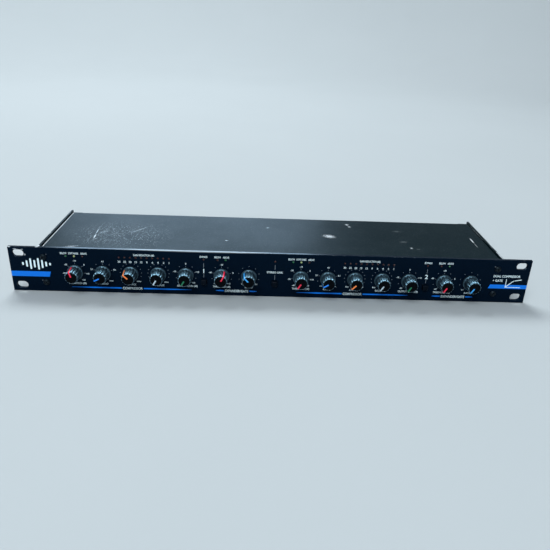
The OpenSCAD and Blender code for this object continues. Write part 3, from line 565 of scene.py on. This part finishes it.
# Colour and glow
LAMPS = {
    "lamp_red": ((0.028, 0.004, 0.005), 0.0),
    "lamp_green": ((0.008, 0.09, 0.035), 0.02),
    "lamp_yellow": ((0.3, 0.36, 0.16), 0.05),
}
INK_COLOURS = {
    "white": (0.72, 0.84, 0.88),
    "blue": (0.0, 0.17, 0.76),
    "grey": (0.22, 0.26, 0.3),
    "pale": (0.75, 0.9, 0.95),
}
POINTER_COLOURS = {
    "threshold": (0.74, 0.013, 0.052),
    "ratio": (0.002, 0.2, 0.85),
    "attack": (0.92, 0.2, 0.045),
    "release": (0.42, 0.52, 0.6),
    "output": (0.0, 0.13, 0.055),
    "gate_threshold": (0.74, 0.013, 0.052),
    "gate_ratio": (0.03, 0.3, 0.75),
}

MATERIALS = {
    "panel_black": make_panel_black(),
    "case_paint": make_case_paint(),
    "black_steel": make_screw_black(),
    "knob_black": make_knob_black(),
    "board_green": make_board(),
    "pot_case": make_pot_case(),
    "core_iron": make_core(),
    "coil_tape": make_tape(),
    "capacitor_sleeve": make_can_sleeve(),
    "fuse_glass": make_glass(),
}
MATERIALS |= {name: make_metal(name, *look) for name, look in METALS.items()}
MATERIALS |= {name: make_plastic(name, *look) for name, look in PLASTICS.items()}
MATERIALS |= {name: make_lamp(name, *look) for name, look in LAMPS.items()}
INK = {name: make_ink(f"ink_{name}", colour) for name, colour in INK_COLOURS.items()}
POINTER = {
    kind: make_plastic(f"pointer_{kind}", colour, 0.35, texture=0.05, wear=0)
    for kind, colour in POINTER_COLOURS.items()
}


# -------- making pieces

def circle(steps):
    """The angles of that many equal steps round a circle."""
    return [2 * math.pi * step / steps for step in range(steps)]


def rectangle(left, right, bottom, top):
    return [(left, bottom), (right, bottom), (right, top), (left, top)]


def stitch(mesh, low, high):
    """Joins two rings of as many points with a band of faces."""
    for i in range(len(low)):
        j = (i + 1) % len(low)
        mesh.faces.new((low[i], high[i], high[j], low[j]))


def outward(mesh):
    """Turns the normals of closed shapes outwards."""
    bmesh.ops.recalc_face_normals(mesh, faces=mesh.faces)


def new_object(name, data):
    """An object in the scene."""
    thing = bpy.data.objects.new(name, data)
    bpy.context.scene.collection.objects.link(thing)
    return thing


def new_solid(name, mesh, material):
    """Turns a bmesh in millimetres into an object in metres."""
    data = bpy.data.meshes.new(name)
    mesh.to_mesh(data)
    mesh.free()
    data.transform(Matrix.Scale(MM, 4))
    data.materials.append(material)
    data.shade_smooth()
    return new_object(name, data)


def add_piece(name, mesh, material, body, replaces=(), smooth=35):
    """A piece of the object, smooth where its faces meet at less than that many degrees."""
    piece = new_solid(name, mesh, material)
    piece.data.set_sharp_from_angle(angle=math.radians(smooth))
    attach(piece, body)
    if replaces:
        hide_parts(*replaces)
    return piece


def soften(mesh, width, segments=2):
    """Merges flat faces, rounds every sharp edge and marks the rounded faces as edges."""
    worn = mesh.faces.layers.float.new("edge")
    flat, sharp = math.radians(1), math.radians(30)
    bmesh.ops.dissolve_limit(mesh, angle_limit=flat, verts=mesh.verts, edges=mesh.edges)
    edges = [e for e in mesh.edges if len(e.link_faces) == 2 and e.calc_face_angle() > sharp]
    done = bmesh.ops.bevel(
        mesh, geom=edges, offset=width, segments=segments, profile=0.5, affect="EDGES",
        clamp_overlap=False, material=-1,
    )
    for face in done["faces"]:
        face[worn] = 1.0


def refined(node, width, segments, body=CASE):
    """A copy of a CAD node with softened edges and flat faces, which stands for the node."""
    slot = NODE_SLOT[node]
    mesh = bmesh.new()
    mesh.from_mesh(frame["nodes"][node].data)
    mesh.transform(Matrix.Scale(1 / MM, 4))
    bmesh.ops.remove_doubles(mesh, verts=mesh.verts, dist=1e-3)
    soften(mesh, width, segments)
    piece = add_piece(f"{node}_shell", mesh, MATERIALS[slot], body, [node])
    keep_flat = piece.modifiers.new("keep_flat", "WEIGHTED_NORMAL")
    keep_flat.keep_sharp = True
    keep_flat.weight = 80
    depsgraph = bpy.context.evaluated_depsgraph_get()
    done = bpy.data.meshes.new_from_object(piece.evaluated_get(depsgraph))
    piece.modifiers.clear()
    piece.data = done


def lathe(mesh, profile, place, steps, close=False):
    """Turns (radius, along) points about place's local Z. A radius of 0 closes the end."""
    rings = []
    for radius, along in profile:
        angles = circle(steps) if radius else [0]
        points = [Vector((radius * math.cos(a), radius * math.sin(a), along)) for a in angles]
        rings.append([mesh.verts.new(place @ point) for point in points])
    pairs = list(zip(rings, rings[1:]))
    if close:
        pairs.append((rings[-1], rings[0]))
    for low, high in pairs:
        for step in range(steps):
            after = (step + 1) % steps
            corners = [low[step % len(low)], low[after % len(low)]]
            corners += [high[after % len(high)], high[step % len(high)]]
            unique = list(dict.fromkeys(corners))
            if len(unique) > 2:
                mesh.faces.new(unique)


def facing_front(x, z, y):
    """Local +Z towards the front, local +X right and local +Y up, seen from the front."""
    return Matrix.Translation((x, y, z)) @ Matrix.Rotation(math.radians(90), 4, "X")


def facing_rear(x, z, y):
    """The same as seen from behind, with local +Z towards the rear."""
    half_turn = Matrix.Rotation(math.radians(180), 4, "Z")
    return Matrix.Translation((x, y, z)) @ half_turn @ facing_front(0, 0, 0)


# -------- knobs

def flute_depth(angle):
    """How far a flute cuts into the grip, at an angle from the middle of a land."""
    pitch = 2 * math.pi / FLUTES
    off = (angle % pitch) - pitch / 2
    centre = GRIP_RADIUS + FLUTE_RADIUS - FLUTE_DEPTH
    across = centre * math.sin(off)
    if abs(across) >= FLUTE_RADIUS:
        return 0.0
    wall = centre * math.cos(off) - math.sqrt(FLUTE_RADIUS ** 2 - across ** 2)
    return max(0.0, GRIP_RADIUS - wall)


def knob_profile(length):
    """(radius, distance from the back, share of the flutes' depth) along a knob's wall."""
    skirt, grip, tip, step = SKIRT_RADIUS, GRIP_RADIUS, TIP_RADIUS, SKIRT_LENGTH
    face = length - 0.14
    return [
        (BACK_RADIUS, 0, 0), (skirt - 0.08, 0.06, 0), (skirt, 0.25, 0),
        (skirt - 0.04, step - 0.5, 0), (skirt - 0.1, step - 0.22, 0),
        (skirt - 0.24, step - 0.05, 0), (grip + 0.12, step, 0), (grip + 0.04, step + 0.06, 0),
        (grip, step + 0.2, 0), (grip - 0.01, step + 0.42, 0.25), (grip - 0.02, step + 0.62, 0.8),
        (grip - 0.04, step + 0.85, 1), ((grip + tip) / 2, (step + length) / 2, 1),
        (tip + 0.06, length - 1.2, 1), (tip, length - 0.75, 1), (tip - 0.1, length - 0.5, 1),
        (tip - 0.33, length - 0.22, 1), (tip - 0.6, length - 0.07, 0.9),
        (tip - 0.85, length - 0.04, 0.55), (tip - 1.15, length - 0.04, 0),
        (tip - 1.3, length - 0.1, 0), (tip - 1.45, face, 0), (tip - 3.5, face, 0), (0.8, face, 0),
    ]


def knob_mesh(length):
    """Fluted knob in its own frame: back at 0, face towards +Z, pointer side towards +Y."""
    mesh = bmesh.new()
    worn = mesh.faces.layers.float.new("edge")
    matte = mesh.faces.layers.float.new("matte")
    rings = []
    for radius, along, share in knob_profile(length):
        ring = []
        for angle in circle(FLUTES * FLUTE_STEPS):
            reach = radius - share * flute_depth(angle)
            ring.append(mesh.verts.new((reach * math.sin(angle), reach * math.cos(angle), along)))
        rings.append(ring)
    for low, high in zip(rings, rings[1:]):
        stitch(mesh, low, high)
    mesh.faces.new(rings[-1][::-1])
    shrink = SHAFT_RADIUS / BACK_RADIUS
    bore = [mesh.verts.new((v.co.x * shrink, v.co.y * shrink, 0)) for v in rings[0]]
    deep = [mesh.verts.new((v.co.x, v.co.y, length - SOLID_TIP)) for v in bore]
    stitch(mesh, deep, bore)
    stitch(mesh, bore, rings[0])
    mesh.faces.new(deep)
    for face in mesh.faces:
        centre = face.calc_center_median()
        reach = math.hypot(centre.x, centre.y)
        if centre.z > length - 0.5 and reach < TIP_RADIUS - 0.85:
            face[matte] = 1.0
        if centre.z > length - 0.5 and reach > TIP_RADIUS - 1.2:
            face[worn] = 1.0
        if centre.z > SKIRT_LENGTH - 0.5 and abs(reach - SKIRT_RADIUS) < 0.15:
            face[worn] = 0.6
    return mesh


def pointer_mesh(length):
    """Coloured inlay along a knob's face and down its side, in the knob's own frame."""
    mesh = bmesh.new()
    half = POINTER_WIDTH / 2
    round_off, deep = 0.18, 0.75
    tip, grip = TIP_RADIUS, GRIP_RADIUS
    path = [
        (0.5, length - 0.03), (0.75, length), (tip - 1.1, length), (tip - 0.62, length - 0.02),
        (tip - 0.3, length - 0.16), (tip - 0.05, length - 0.45), (tip + 0.06, length - 0.8),
        (grip + 0.03, SKIRT_LENGTH + 2.0), (grip + 0.03, SKIRT_LENGTH + 1.4),
        (grip - 0.15, SKIRT_LENGTH + 1.15),
    ]
    section = [(-half, deep), (-half, round_off), (-half + round_off, 0)]
    section += [(-x, sink) for x, sink in section[::-1]]
    middle = Vector((2.5, 0, length / 2))
    rows = []
    for reach, along in path:
        inward = (middle - Vector((reach, 0, along))).normalized()
        points = [(x, reach + inward.x * sink, along + inward.z * sink) for x, sink in section]
        rows.append([mesh.verts.new(point) for point in points])
    for low, high in zip(rows, rows[1:]):
        stitch(mesh, low, high)
    mesh.faces.new(rows[0][::-1])
    mesh.faces.new(rows[-1])
    outward(mesh)
    return mesh


def shaft_mesh(front, rear):
    """Pot shaft with a flat, in the knob's own frame."""
    mesh = bmesh.new()
    radius, flat = SHAFT_RADIUS, SHAFT_RADIUS / 2
    ends = []
    for along in (front, rear):
        points = [
            (radius * math.sin(a), min(radius * math.cos(a), flat), along) for a in circle(40)
        ]
        ends.append([mesh.verts.new(point) for point in points])
    stitch(mesh, ends[1], ends[0])
    mesh.faces.new(ends[0][::-1])
    mesh.faces.new(ends[1])
    outward(mesh)
    soften(mesh, 0.2)
    return mesh


def make_knobs():
    """Each knob with its pointer and shaft, at its stored angle."""
    back = FRONT_FACE - KNOB_GAP
    length = back - KNOB_FACE
    for channel in CHANNELS:
        for kind in KINDS:
            x, z, turned = knob_place(kind, channel)
            place = facing_front(x, z, back) @ Matrix.Rotation(math.radians(-turned), 4, "Z")
            shaft = shaft_mesh(length - SOLID_TIP - SHAFT_GAP, back - SHAFT_END)
            makers = (
                ("grip", knob_mesh(length), MATERIALS["knob_black"], "knob_black"),
                ("pointer", pointer_mesh(length), POINTER[kind], "knob_black"),
                ("shaft", shaft, MATERIALS["bright_steel"], "bright_steel"),
            )
            for part, mesh, material, slot in makers:
                mesh.transform(place)
                outward(mesh)
                name, body = f"{kind}_{part}_{channel}", f"{kind}_knob_{channel}"
                node = f"knob_{kind}_{channel}"
                add_piece(name, mesh, material, body, [node], smooth=40)


# -------- printing

class Print:
    """Thin raised shapes of each ink on one panel, drawn in the panel's own plane."""

    def __init__(self, name, place):
        self.name = name
        self.place = place
        self.inks = defaultdict(bmesh.new)

    def shape(self, ink, points):
        """A filled outline of (x, z) points."""
        mesh = self.inks[ink]
        face = mesh.faces.new([mesh.verts.new((x, z, 0)) for x, z in points])
        face.normal_update()
        for item in bmesh.ops.extrude_face_region(mesh, geom=[face])["geom"]:
            if isinstance(item, bmesh.types.BMVert):
                item.co.z += INK_HEIGHT

    def dot(self, ink, x, z, radius):
        self.shape(ink, [(x + radius * math.cos(a), z + radius * math.sin(a)) for a in circle(16)])

    def line(self, ink, points, width):
        """A stroke through points, with each stretch a rectangle."""
        for start, end in zip(points, points[1:]):
            start, end = Vector(start), Vector(end)
            run = (end - start).normalized() * width / 2
            side = Vector((-run.y, run.x))
            start, end = start - run, end + run
            self.shape(ink, [start - side, end - side, end + side, start + side])

    def text(self, ink, words, x, z, height, width=None, anchor=0.0):
        """Capitals of that height. x is their middle, or an end where anchor is -1 or 1."""
        curve = bpy.data.curves.new("words", "FONT")
        curve.body = words
        curve.size = height / TEXT_CAP_SHARE
        curve.extrude = INK_HEIGHT / 2
        curve.offset = height * TEXT_BOLDNESS
        curve.resolution_u = 3
        holder = new_object("words", curve)
        depsgraph = bpy.context.evaluated_depsgraph_get()
        flat = bpy.data.meshes.new_from_object(holder.evaluated_get(depsgraph))
        bpy.data.objects.remove(holder)
        bpy.data.curves.remove(curve)
        left = min(v.co.x for v in flat.vertices)
        right = max(v.co.x for v in flat.vertices)
        stretch = width / (right - left) if width else 1.0
        middle = x - anchor * (right - left) * stretch / 2
        flat.transform(Matrix.Translation((-(left + right) / 2, 0, 0)))
        flat.transform(Matrix.Diagonal((stretch, 1, 1, 1)))
        flat.transform(Matrix.Translation((middle, z - height / 2, INK_HEIGHT / 2)))
        self.inks[ink].from_mesh(flat)
        bpy.data.meshes.remove(flat)

    def finish(self):
        for ink, mesh in self.inks.items():
            mesh.transform(self.place @ Matrix.Diagonal((1, 1, INK_LAYERS[ink], 1)))
            outward(mesh)
            add_piece(f"{self.name}_{ink}", mesh, INK[ink], CASE, smooth=30)


def around(x, z, degrees, radius):
    """Place on a circle round a knob, degrees clockwise from straight up."""
    turn = math.radians(degrees)
    return x + radius * math.sin(turn), z + radius * math.cos(turn)


# Words at angles round each kind of knob, then the angles of its dots
SCALES = {
    "threshold": (
        {-150: "-40", -100: "-30", -50: "-20", 0: "-10", 50: "0", 100: "+10", 150: "+20"}, (),
    ),
    "ratio": ({-150: "1:1", -75: "2:1", 0: "4:1", 75: "8:1", 150: "max"}, (-110, -38, 38)),
    "attack": ({-150: "fast", 150: "slow"}, range(-110, 111, 22)),
    "release": ({-150: "fast", 150: "slow"}, range(-110, 111, 22)),
    "output": ({-150: "-20", -75: "-10", 0: "0", 75: "+10", 150: "+20"}, (-112, -37, 37, 112)),
    "gate_threshold": (
        {-150: "off", -75: "-40", 0: "-20", 75: "0", 150: "+15"}, (-112, -37, 37, 112),
    ),
    "gate_ratio": ({-150: "1:1", 150: "10:1"}, (-110, -75, -38, 0, 38, 75, 110)),
}
# Each knob's name, its printed width and its shift to the right
KNOB_NAMES = {
    "threshold": ("THRESHOLD (dB)", 16.3, 0.6),
    "ratio": ("RATIO", 7.2, 0),
    "attack": ("ATTACK", 8.6, 0),
    "release": ("RELEASE", 9.8, 0),
    "output": ("OUTPUT GAIN (dB)", 19, 1.0),
    "gate_threshold": ("THRESHOLD (dB)", 16.3, 0),
    "gate_ratio": ("RATIO", 7.2, 0),
}
# Ends of each section's line and, between them, of its name
SECTION_BARS = {
    1: {"COMPRESSOR": (-187, -140, -121.5, -76), "EXPANDER/GATE": (-53, -44.5, -22.5, -14.5)},
    2: {"COMPRESSOR": (23, 67, 85, 129), "EXPANDER/GATE": (152, 161, 183.5, 191.5)},
}
METER_REACH = 26
METER_NUMBER_Z = 10.0
METER_NUMBERS = ("30", "25", "20", "15", "12", "9", "6", "4", "2", "1")


def print_scale(sheet, kind, channel):
    """Words, ticks and dots round one knob."""
    x, z, _ = knob_place(kind, channel)
    words, dots = SCALES[kind]
    for degrees, word in words.items():
        if abs(degrees) == TURN_LIMIT:
            side = math.copysign(1, degrees)
            end_x, end_z = x + side * END_WORD_X, z + END_WORD_Z
            sheet.text("white", word, end_x, end_z, SCALE_HEIGHT, anchor=-side)
        else:
            sheet.text("white", word, *around(x, z, degrees, MARK_RADIUS), SCALE_HEIGHT)
        ends = [around(x, z, degrees, SKIRT_RADIUS + gap) for gap in (0.5, 1.5)]
        sheet.line("grey", ends, TICK_WIDTH)
    for degrees in dots:
        sheet.dot("grey", *around(x, z, degrees, DOT_CIRCLE), DOT_RADIUS)
    name, width, shift = KNOB_NAMES[kind]
    sheet.text("white", name, x + shift, KNOB_NAME_Z, LABEL_HEIGHT, width)


def section_bar(sheet, words, left, text_left, text_right, right):
    """A section's name on a blue line that thins out to both sides."""
    z, half, thin = -17.0, 0.65, 0.12
    for inner, outer in ((text_left - 1, left), (text_right + 1, right)):
        knee = inner + (outer - inner) * 0.55
        points = [(inner, z - half), (knee, z - half), (outer, z - thin)]
        points += [(outer, z + thin), (knee, z + half), (inner, z + half)]
        sheet.shape("blue", points if outer > inner else points[::-1])
    sheet.text("white", words, (text_left + text_right) / 2, z, 2.5, text_right - text_left)


def upright_rules(sheet, x, *spans):
    """Thin upright lines, each from one height to another."""
    for high, low in spans:
        sheet.line("grey", [(x, high), (x, low)], RULE_WIDTH)


def print_channel(sheet, channel):
    """Everything printed for one channel."""
    for kind in KINDS:
        print_scale(sheet, kind, channel)
    first = knob_place("threshold", channel)[0]
    gate = knob_place("gate_threshold", channel)[0]
    meter = (knob_place("attack", channel)[0] + knob_place("release", channel)[0]) / 2
    button = middles(f"bypass_button_{channel}")[0].x
    lamp_words = (
        ("BELOW", first - 9.25, 5.9), ("SOFT KNEE", first - 0.25, 9.1),
        ("ABOVE", first + 8.95, 5.7), ("BELOW", gate - 3.6, 6), ("ABOVE", gate + 4.1, 5.7),
        ("GAIN REDUCTION (dB)", meter, 19), ("BYPASS", button, 7),
    )
    for words, x, width in lamp_words:
        sheet.text("white", words, x, LAMP_WORD_Z, LABEL_HEIGHT, width)
    lamps = [place.x for place in middles("red_lamps") if abs(place.x - meter) < METER_REACH]
    for x, number in zip(lamps, METER_NUMBERS):
        sheet.text("white", number, x, METER_NUMBER_Z, LABEL_HEIGHT)
    upright_rules(sheet, button, (10.5, 6.5), (0.0, -3.6))
    sheet.text("pale", str(channel), button, 3.0, 4.4)
    for words, places in SECTION_BARS[channel].items():
        section_bar(sheet, words, *places)


def print_emblem(sheet):
    """Sound-wave bars above a blue stripe, and words, a knee curve and a stripe on the right."""
    heights = (3.0, 6.4, 10.6, 7.4, 11.4, 8.2, 4.8, 2.6)
    half, cap, middle, pitch = 0.8, 0.5, 5.6, 3.5
    for i, height in enumerate(heights):
        x, low, high = i * pitch - 229.2, middle - height / 2, middle + height / 2
        side = [(half - cap, low), (half, low + cap), (half, high - cap), (half - cap, high)]
        side += [(-across, z) for across, z in side[::-1]]
        sheet.shape("pale", [(x + across, z) for across, z in side])
    left, right = PANEL_LOW.x + 0.3, PANEL_HIGH.x - 0.3
    sheet.shape("blue", [(left, -7.2), (-206.5, -7.2), (-205, -2.0), (left, -2.0)])
    sheet.shape("blue", [(204.2, -7.2), (right, -7.2), (right, -3.2), (206, -3.2)])
    sheet.text("pale", "DUAL COMPRESSOR", 207.5, 5.6, 2.3, 25.5, anchor=-1)
    sheet.text("pale", "+ GATE", 207.5, 1.1, 2.3, 9.5, anchor=-1)
    sheet.line("pale", [(220.5, 2.4), (220.5, -5.8), (234.5, -5.8)], 0.55)
    sheet.line("pale", [(220.5, -5.8), (226.5, 0.0), (228.2, 1.0), (234.5, 2.2)], 0.75)


def print_front():
    sheet = Print("front_print", facing_front(0, 0, FRONT_FACE))
    for channel in CHANNELS:
        print_channel(sheet, channel)
    button = middles("couple_button")[0].x
    upright_rules(sheet, button, (10.5, 6.3), (0.4, -4.0))
    sheet.text("white", "STEREO LINK", button, 3.3, LABEL_HEIGHT, 15)
    print_emblem(sheet)
    sheet.finish()


# -------- case, lamps, buttons and rear

def make_lamps():
    """Domed lamps on the lamp board: a flanged base and a round lens."""
    radius, base, flange = 0.95, 1.5, 1.4
    for node in ("red_lamps", "green_lamps", "yellow_lamps"):
        mesh = bmesh.new()
        for low, high in solids_of(node):
            middle = (low + high) / 2
            length = high.y - low.y
            profile = [(0, 0), (base - 0.1, 0), (base, 0.1), (base, flange - 0.2)]
            profile += [(base - 0.15, flange), (radius, flange)]
            for turn in map(math.radians, range(90, 0, -10)):
                along = length - radius + radius * math.cos(turn)
                profile.append((radius * math.sin(turn), along))
            profile.append((0, length))
            lathe(mesh, profile, facing_front(middle.x, middle.z, high.y), 24)
        outward(mesh)
        slot = "lamp_" + node.split("_")[0]
        add_piece(f"{node}_lenses", mesh, MATERIALS[slot], CASE, [node], smooth=50)


def make_jacks():
    """Jack bodies with a threaded nose each."""
    nose, root, bore, pitch = 4.7, 4.45, 3.25, 0.5
    bore_depth, tail = 20, 3
    nose_z = box_mm("jack_nuts")[0].z + NUT_REACH
    shell_back = REAR_FACE - 1.5
    start = shell_back - 0.2
    for kind in JACKS:
        node = f"{kind}_jacks"
        solids = solids_of(node)
        mesh = bmesh.new()
        for low, high in solids:
            high = Vector((high.x, shell_back, high.z))
            centre, size = (low + high) / 2, high - low
            for vert in bmesh.ops.create_cube(mesh, size=1.0)["verts"]:
                vert.co = vert.co * size + centre
        soften(mesh, 0.5, 3)
        for low, high in solids:
            end = high.y
            profile = [(nose, start)]
            for turn in range(int((end - 0.5 - start) / pitch)):
                along = start + 0.1 + turn * pitch
                profile += [(nose, along), (root, along + pitch / 2)]
            profile += [(nose, end - 0.4), (nose - 0.3, end), (bore + 0.35, end)]
            profile += [(bore, end - 0.3), (bore, end - bore_depth)]
            profile += [(bore, start - tail), (nose, start - tail)]
            lathe(mesh, profile, facing_rear((low.x + high.x) / 2, nose_z, 0), 48, close=True)
        outward(mesh)
        slot = "moulded_black"
        add_piece(f"{node}_body", mesh, MATERIALS[slot], CASE, [node], smooth=40)


def print_rear():
    """Plain words for what each socket is, and a frame round each channel's sockets."""
    sheet = Print("rear_print", facing_rear(0, 0, REAR_FACE))
    for kind in JACKS:
        for place in middles(f"{kind}_jacks"):
            sheet.text("white", kind.upper(), -place.x, 11.6, 2.2)
    bottom, top, half = -14.6, 15.4, 0.15
    for channel in CHANNELS:
        x = -middles(f"level_button_{channel}")[0].x
        sheet.text("white", "LEVEL", x, 1.6, 1.8)
        sheet.text("white", "+4 / -10", x, -1.6, 1.6)
        sockets = [-middles(f"{kind}_jacks")[channel - 1].x for kind in JACKS]
        left, right = min(sockets) - 12, max(sockets) + 12
        for z in (top, bottom):
            sheet.shape("grey", rectangle(left, right, z - half, z + half))
        for side in (left, right):
            sheet.shape("grey", rectangle(side - half, side + half, bottom, top))
        sheet.text("white", f"CHANNEL {channel}", (left + right) / 2, -12.2, 2.2)
    sheet.text("white", "POWER", -middles("power_rocker")[0].x, 12.8, 2.0)
    sheet.finish()


def drape(mesh, tree, points):
    """A thin shape laid on the rocker's outer surface, onto which each point is cast."""
    forward = Vector((0, -1, 0))
    tops, bottoms = [], []
    for point in points:
        hit, normal, _, _ = tree.ray_cast(Vector(point) - forward * 10, forward)
        tops.append(mesh.verts.new(hit + normal * INK_HEIGHT))
        bottoms.append(mesh.verts.new(hit - normal * INK_HEIGHT))
    mesh.faces.new(tops)
    mesh.faces.new(bottoms[::-1])
    stitch(mesh, tops, bottoms)


def mark_rocker():
    """On and off marks on the rocker's two halves."""
    data = frame["nodes"]["power_rocker"].data
    tree = BVHTree.FromPolygons(
        [v.co / MM for v in data.vertices], [p.vertices for p in data.polygons],
    )
    low, high = box_mm("power_rocker")
    x, z = (low.x + high.x) / 2, (low.z + high.z) / 2
    mesh = bmesh.new()
    half_w, half_h, reach, ring, stroke = 0.3, 1.3, 3.6, 1.3, 0.5
    bar = rectangle(x - half_w, x + half_w, z + reach - half_h, z + reach + half_h)
    drape(mesh, tree, [(a, high.y, b) for a, b in bar])
    angles = circle(24)
    for a, b in zip(angles, angles[1:] + angles[:1]):
        corners = ((a, ring), (b, ring), (b, ring - stroke), (a, ring - stroke))
        drape(mesh, tree, [
            (x + r * math.cos(turn), high.y, z - reach + r * math.sin(turn)) for turn, r in corners
        ])
    bmesh.ops.remove_doubles(mesh, verts=mesh.verts, dist=1e-4)
    outward(mesh)
    add_piece("rocker_marks", mesh, INK["white"], "rocker")


# How wide the edges of each node are rounded, and in how many steps
SOFT_EDGES = {
    "front_panel": (0.25, 2), "chassis_tray": (0.2, 2), "top_cover": (0.15, 2),
    "rear_panel": (0.15, 2), "front_panel_screws": (0.1, 2), "rear_panel_screws": (0.1, 2),
    "cover_screws": (0.06, 2), "inlet_screws": (0.06, 2), "jack_nuts": (0.2, 2),
    "mains_inlet": (0.35, 3), "inlet_pins": (0.3, 2), "rocker_frame": (0.3, 3),
}
BUTTONS = (
    "bypass_button_1", "bypass_button_2", "couple_button", "level_button_1", "level_button_2",
)


def make_case():
    """The case, screws, sockets, buttons and rocker, with their edges softened."""
    for node, (width, steps) in SOFT_EDGES.items():
        refined(node, width, steps)
    refined("power_rocker", 0.3, 3, "rocker")
    for node in BUTTONS:
        refined(node, 0.2, 3, f"{node}_cap")


def finish_inner_nodes():
    """CAD nodes that stay as they are get their slot's procedural material."""
    for node, source in frame["nodes"].items():
        source.data.materials[0] = MATERIALS[NODE_SLOT[node]]


# -------- stage

def make_stage():
    """Pale floor that curves up into a wall far away, all round."""
    mesh = bmesh.new()
    flat, curve, height = 1700, 1300, 3400
    profile = [(0, 0), (400, 0), (flat, 0)]
    for turn in map(math.radians, range(6, 91, 6)):
        profile.append((flat + curve * math.sin(turn), curve - curve * math.cos(turn)))
    profile.append((flat + curve, height))
    lathe(mesh, profile, Matrix.Translation((0, 0, FLOOR_Z)), 96)
    new_solid("floor", mesh, make_floor())


def add_light(name, place, target, size, power, colour, sheen_only=False):
    """Soft rectangular light. place, target and size are in metres."""
    light = bpy.data.lights.new(name, "AREA")
    light.shape = "RECTANGLE"
    light.size, light.size_y = size
    light.energy = power
    light.color = colour
    holder = new_object(name, light)
    holder.location = place
    aim = Vector(target) - Vector(place)
    holder.rotation_euler = aim.to_track_quat("-Z", "Y").to_euler()
    holder.visible_camera = False
    holder.visible_diffuse = not sheen_only


def make_lights():
    cool, cooler, blue = (0.9, 0.97, 1), (0.75, 0.92, 1), (0.53, 0.76, 1)
    add_light("top", (-0.7, 1.75, 2.4), (0, 0, 0), (1.8, 1.0), 100, cool)
    add_light("front", (-0.5, -1.9, 2.4), (0, 0, 0), (2.0, 1.6), 75, cool)
    add_light("sheen", (-0.33, 1.95, 0.78), (-0.08, 0.05, 0), (1.15, 0.6), 22, blue, True)
    add_light("strip", (-0.1, 0.8, 1.45), (0, 0, 0), (3.0, 0.5), 60, cooler, True)
    world = bpy.data.worlds.new("world")
    bpy.context.scene.world = world
    world.use_nodes = True
    sky = world.node_tree.nodes["Background"].inputs
    sky["Color"].default_value = (0.86, 0.93, 1, 1)
    sky["Strength"].default_value = 0.62


def make_camera():
    azimuth, elevation = math.radians(CAMERA_AZIMUTH), math.radians(CAMERA_ELEVATION)
    level = math.cos(elevation)
    ahead = Vector((math.sin(azimuth) * level, math.cos(azimuth) * level, -math.sin(elevation)))
    right = ahead.cross(Vector((0, 0, 1))).normalized()
    up = right.cross(ahead)
    roll = Matrix.Rotation(math.radians(CAMERA_ROLL), 3, "Z")
    turn = Matrix((right, up, -ahead)).transposed() @ roll
    data = bpy.data.cameras.new("camera")
    data.sensor_width = SENSOR_WIDTH
    data.lens = FOCAL_PIXELS / IMAGE_PIXELS * SENSOR_WIDTH
    data.clip_start, data.clip_end = 0.01, 50
    camera = new_object("camera", data)
    place = (Vector(CAMERA_TARGET) - ahead * CAMERA_DISTANCE) * MM
    camera.matrix_world = Matrix.Translation(place) @ turn.to_4x4()
    bpy.context.scene.camera = camera


bpy.context.scene.view_settings.view_transform = "Standard"
make_camera()
make_stage()
make_lights()
finish_inner_nodes()
make_case()
make_knobs()
make_lamps()
make_jacks()
mark_rocker()
print_front()
print_rear()
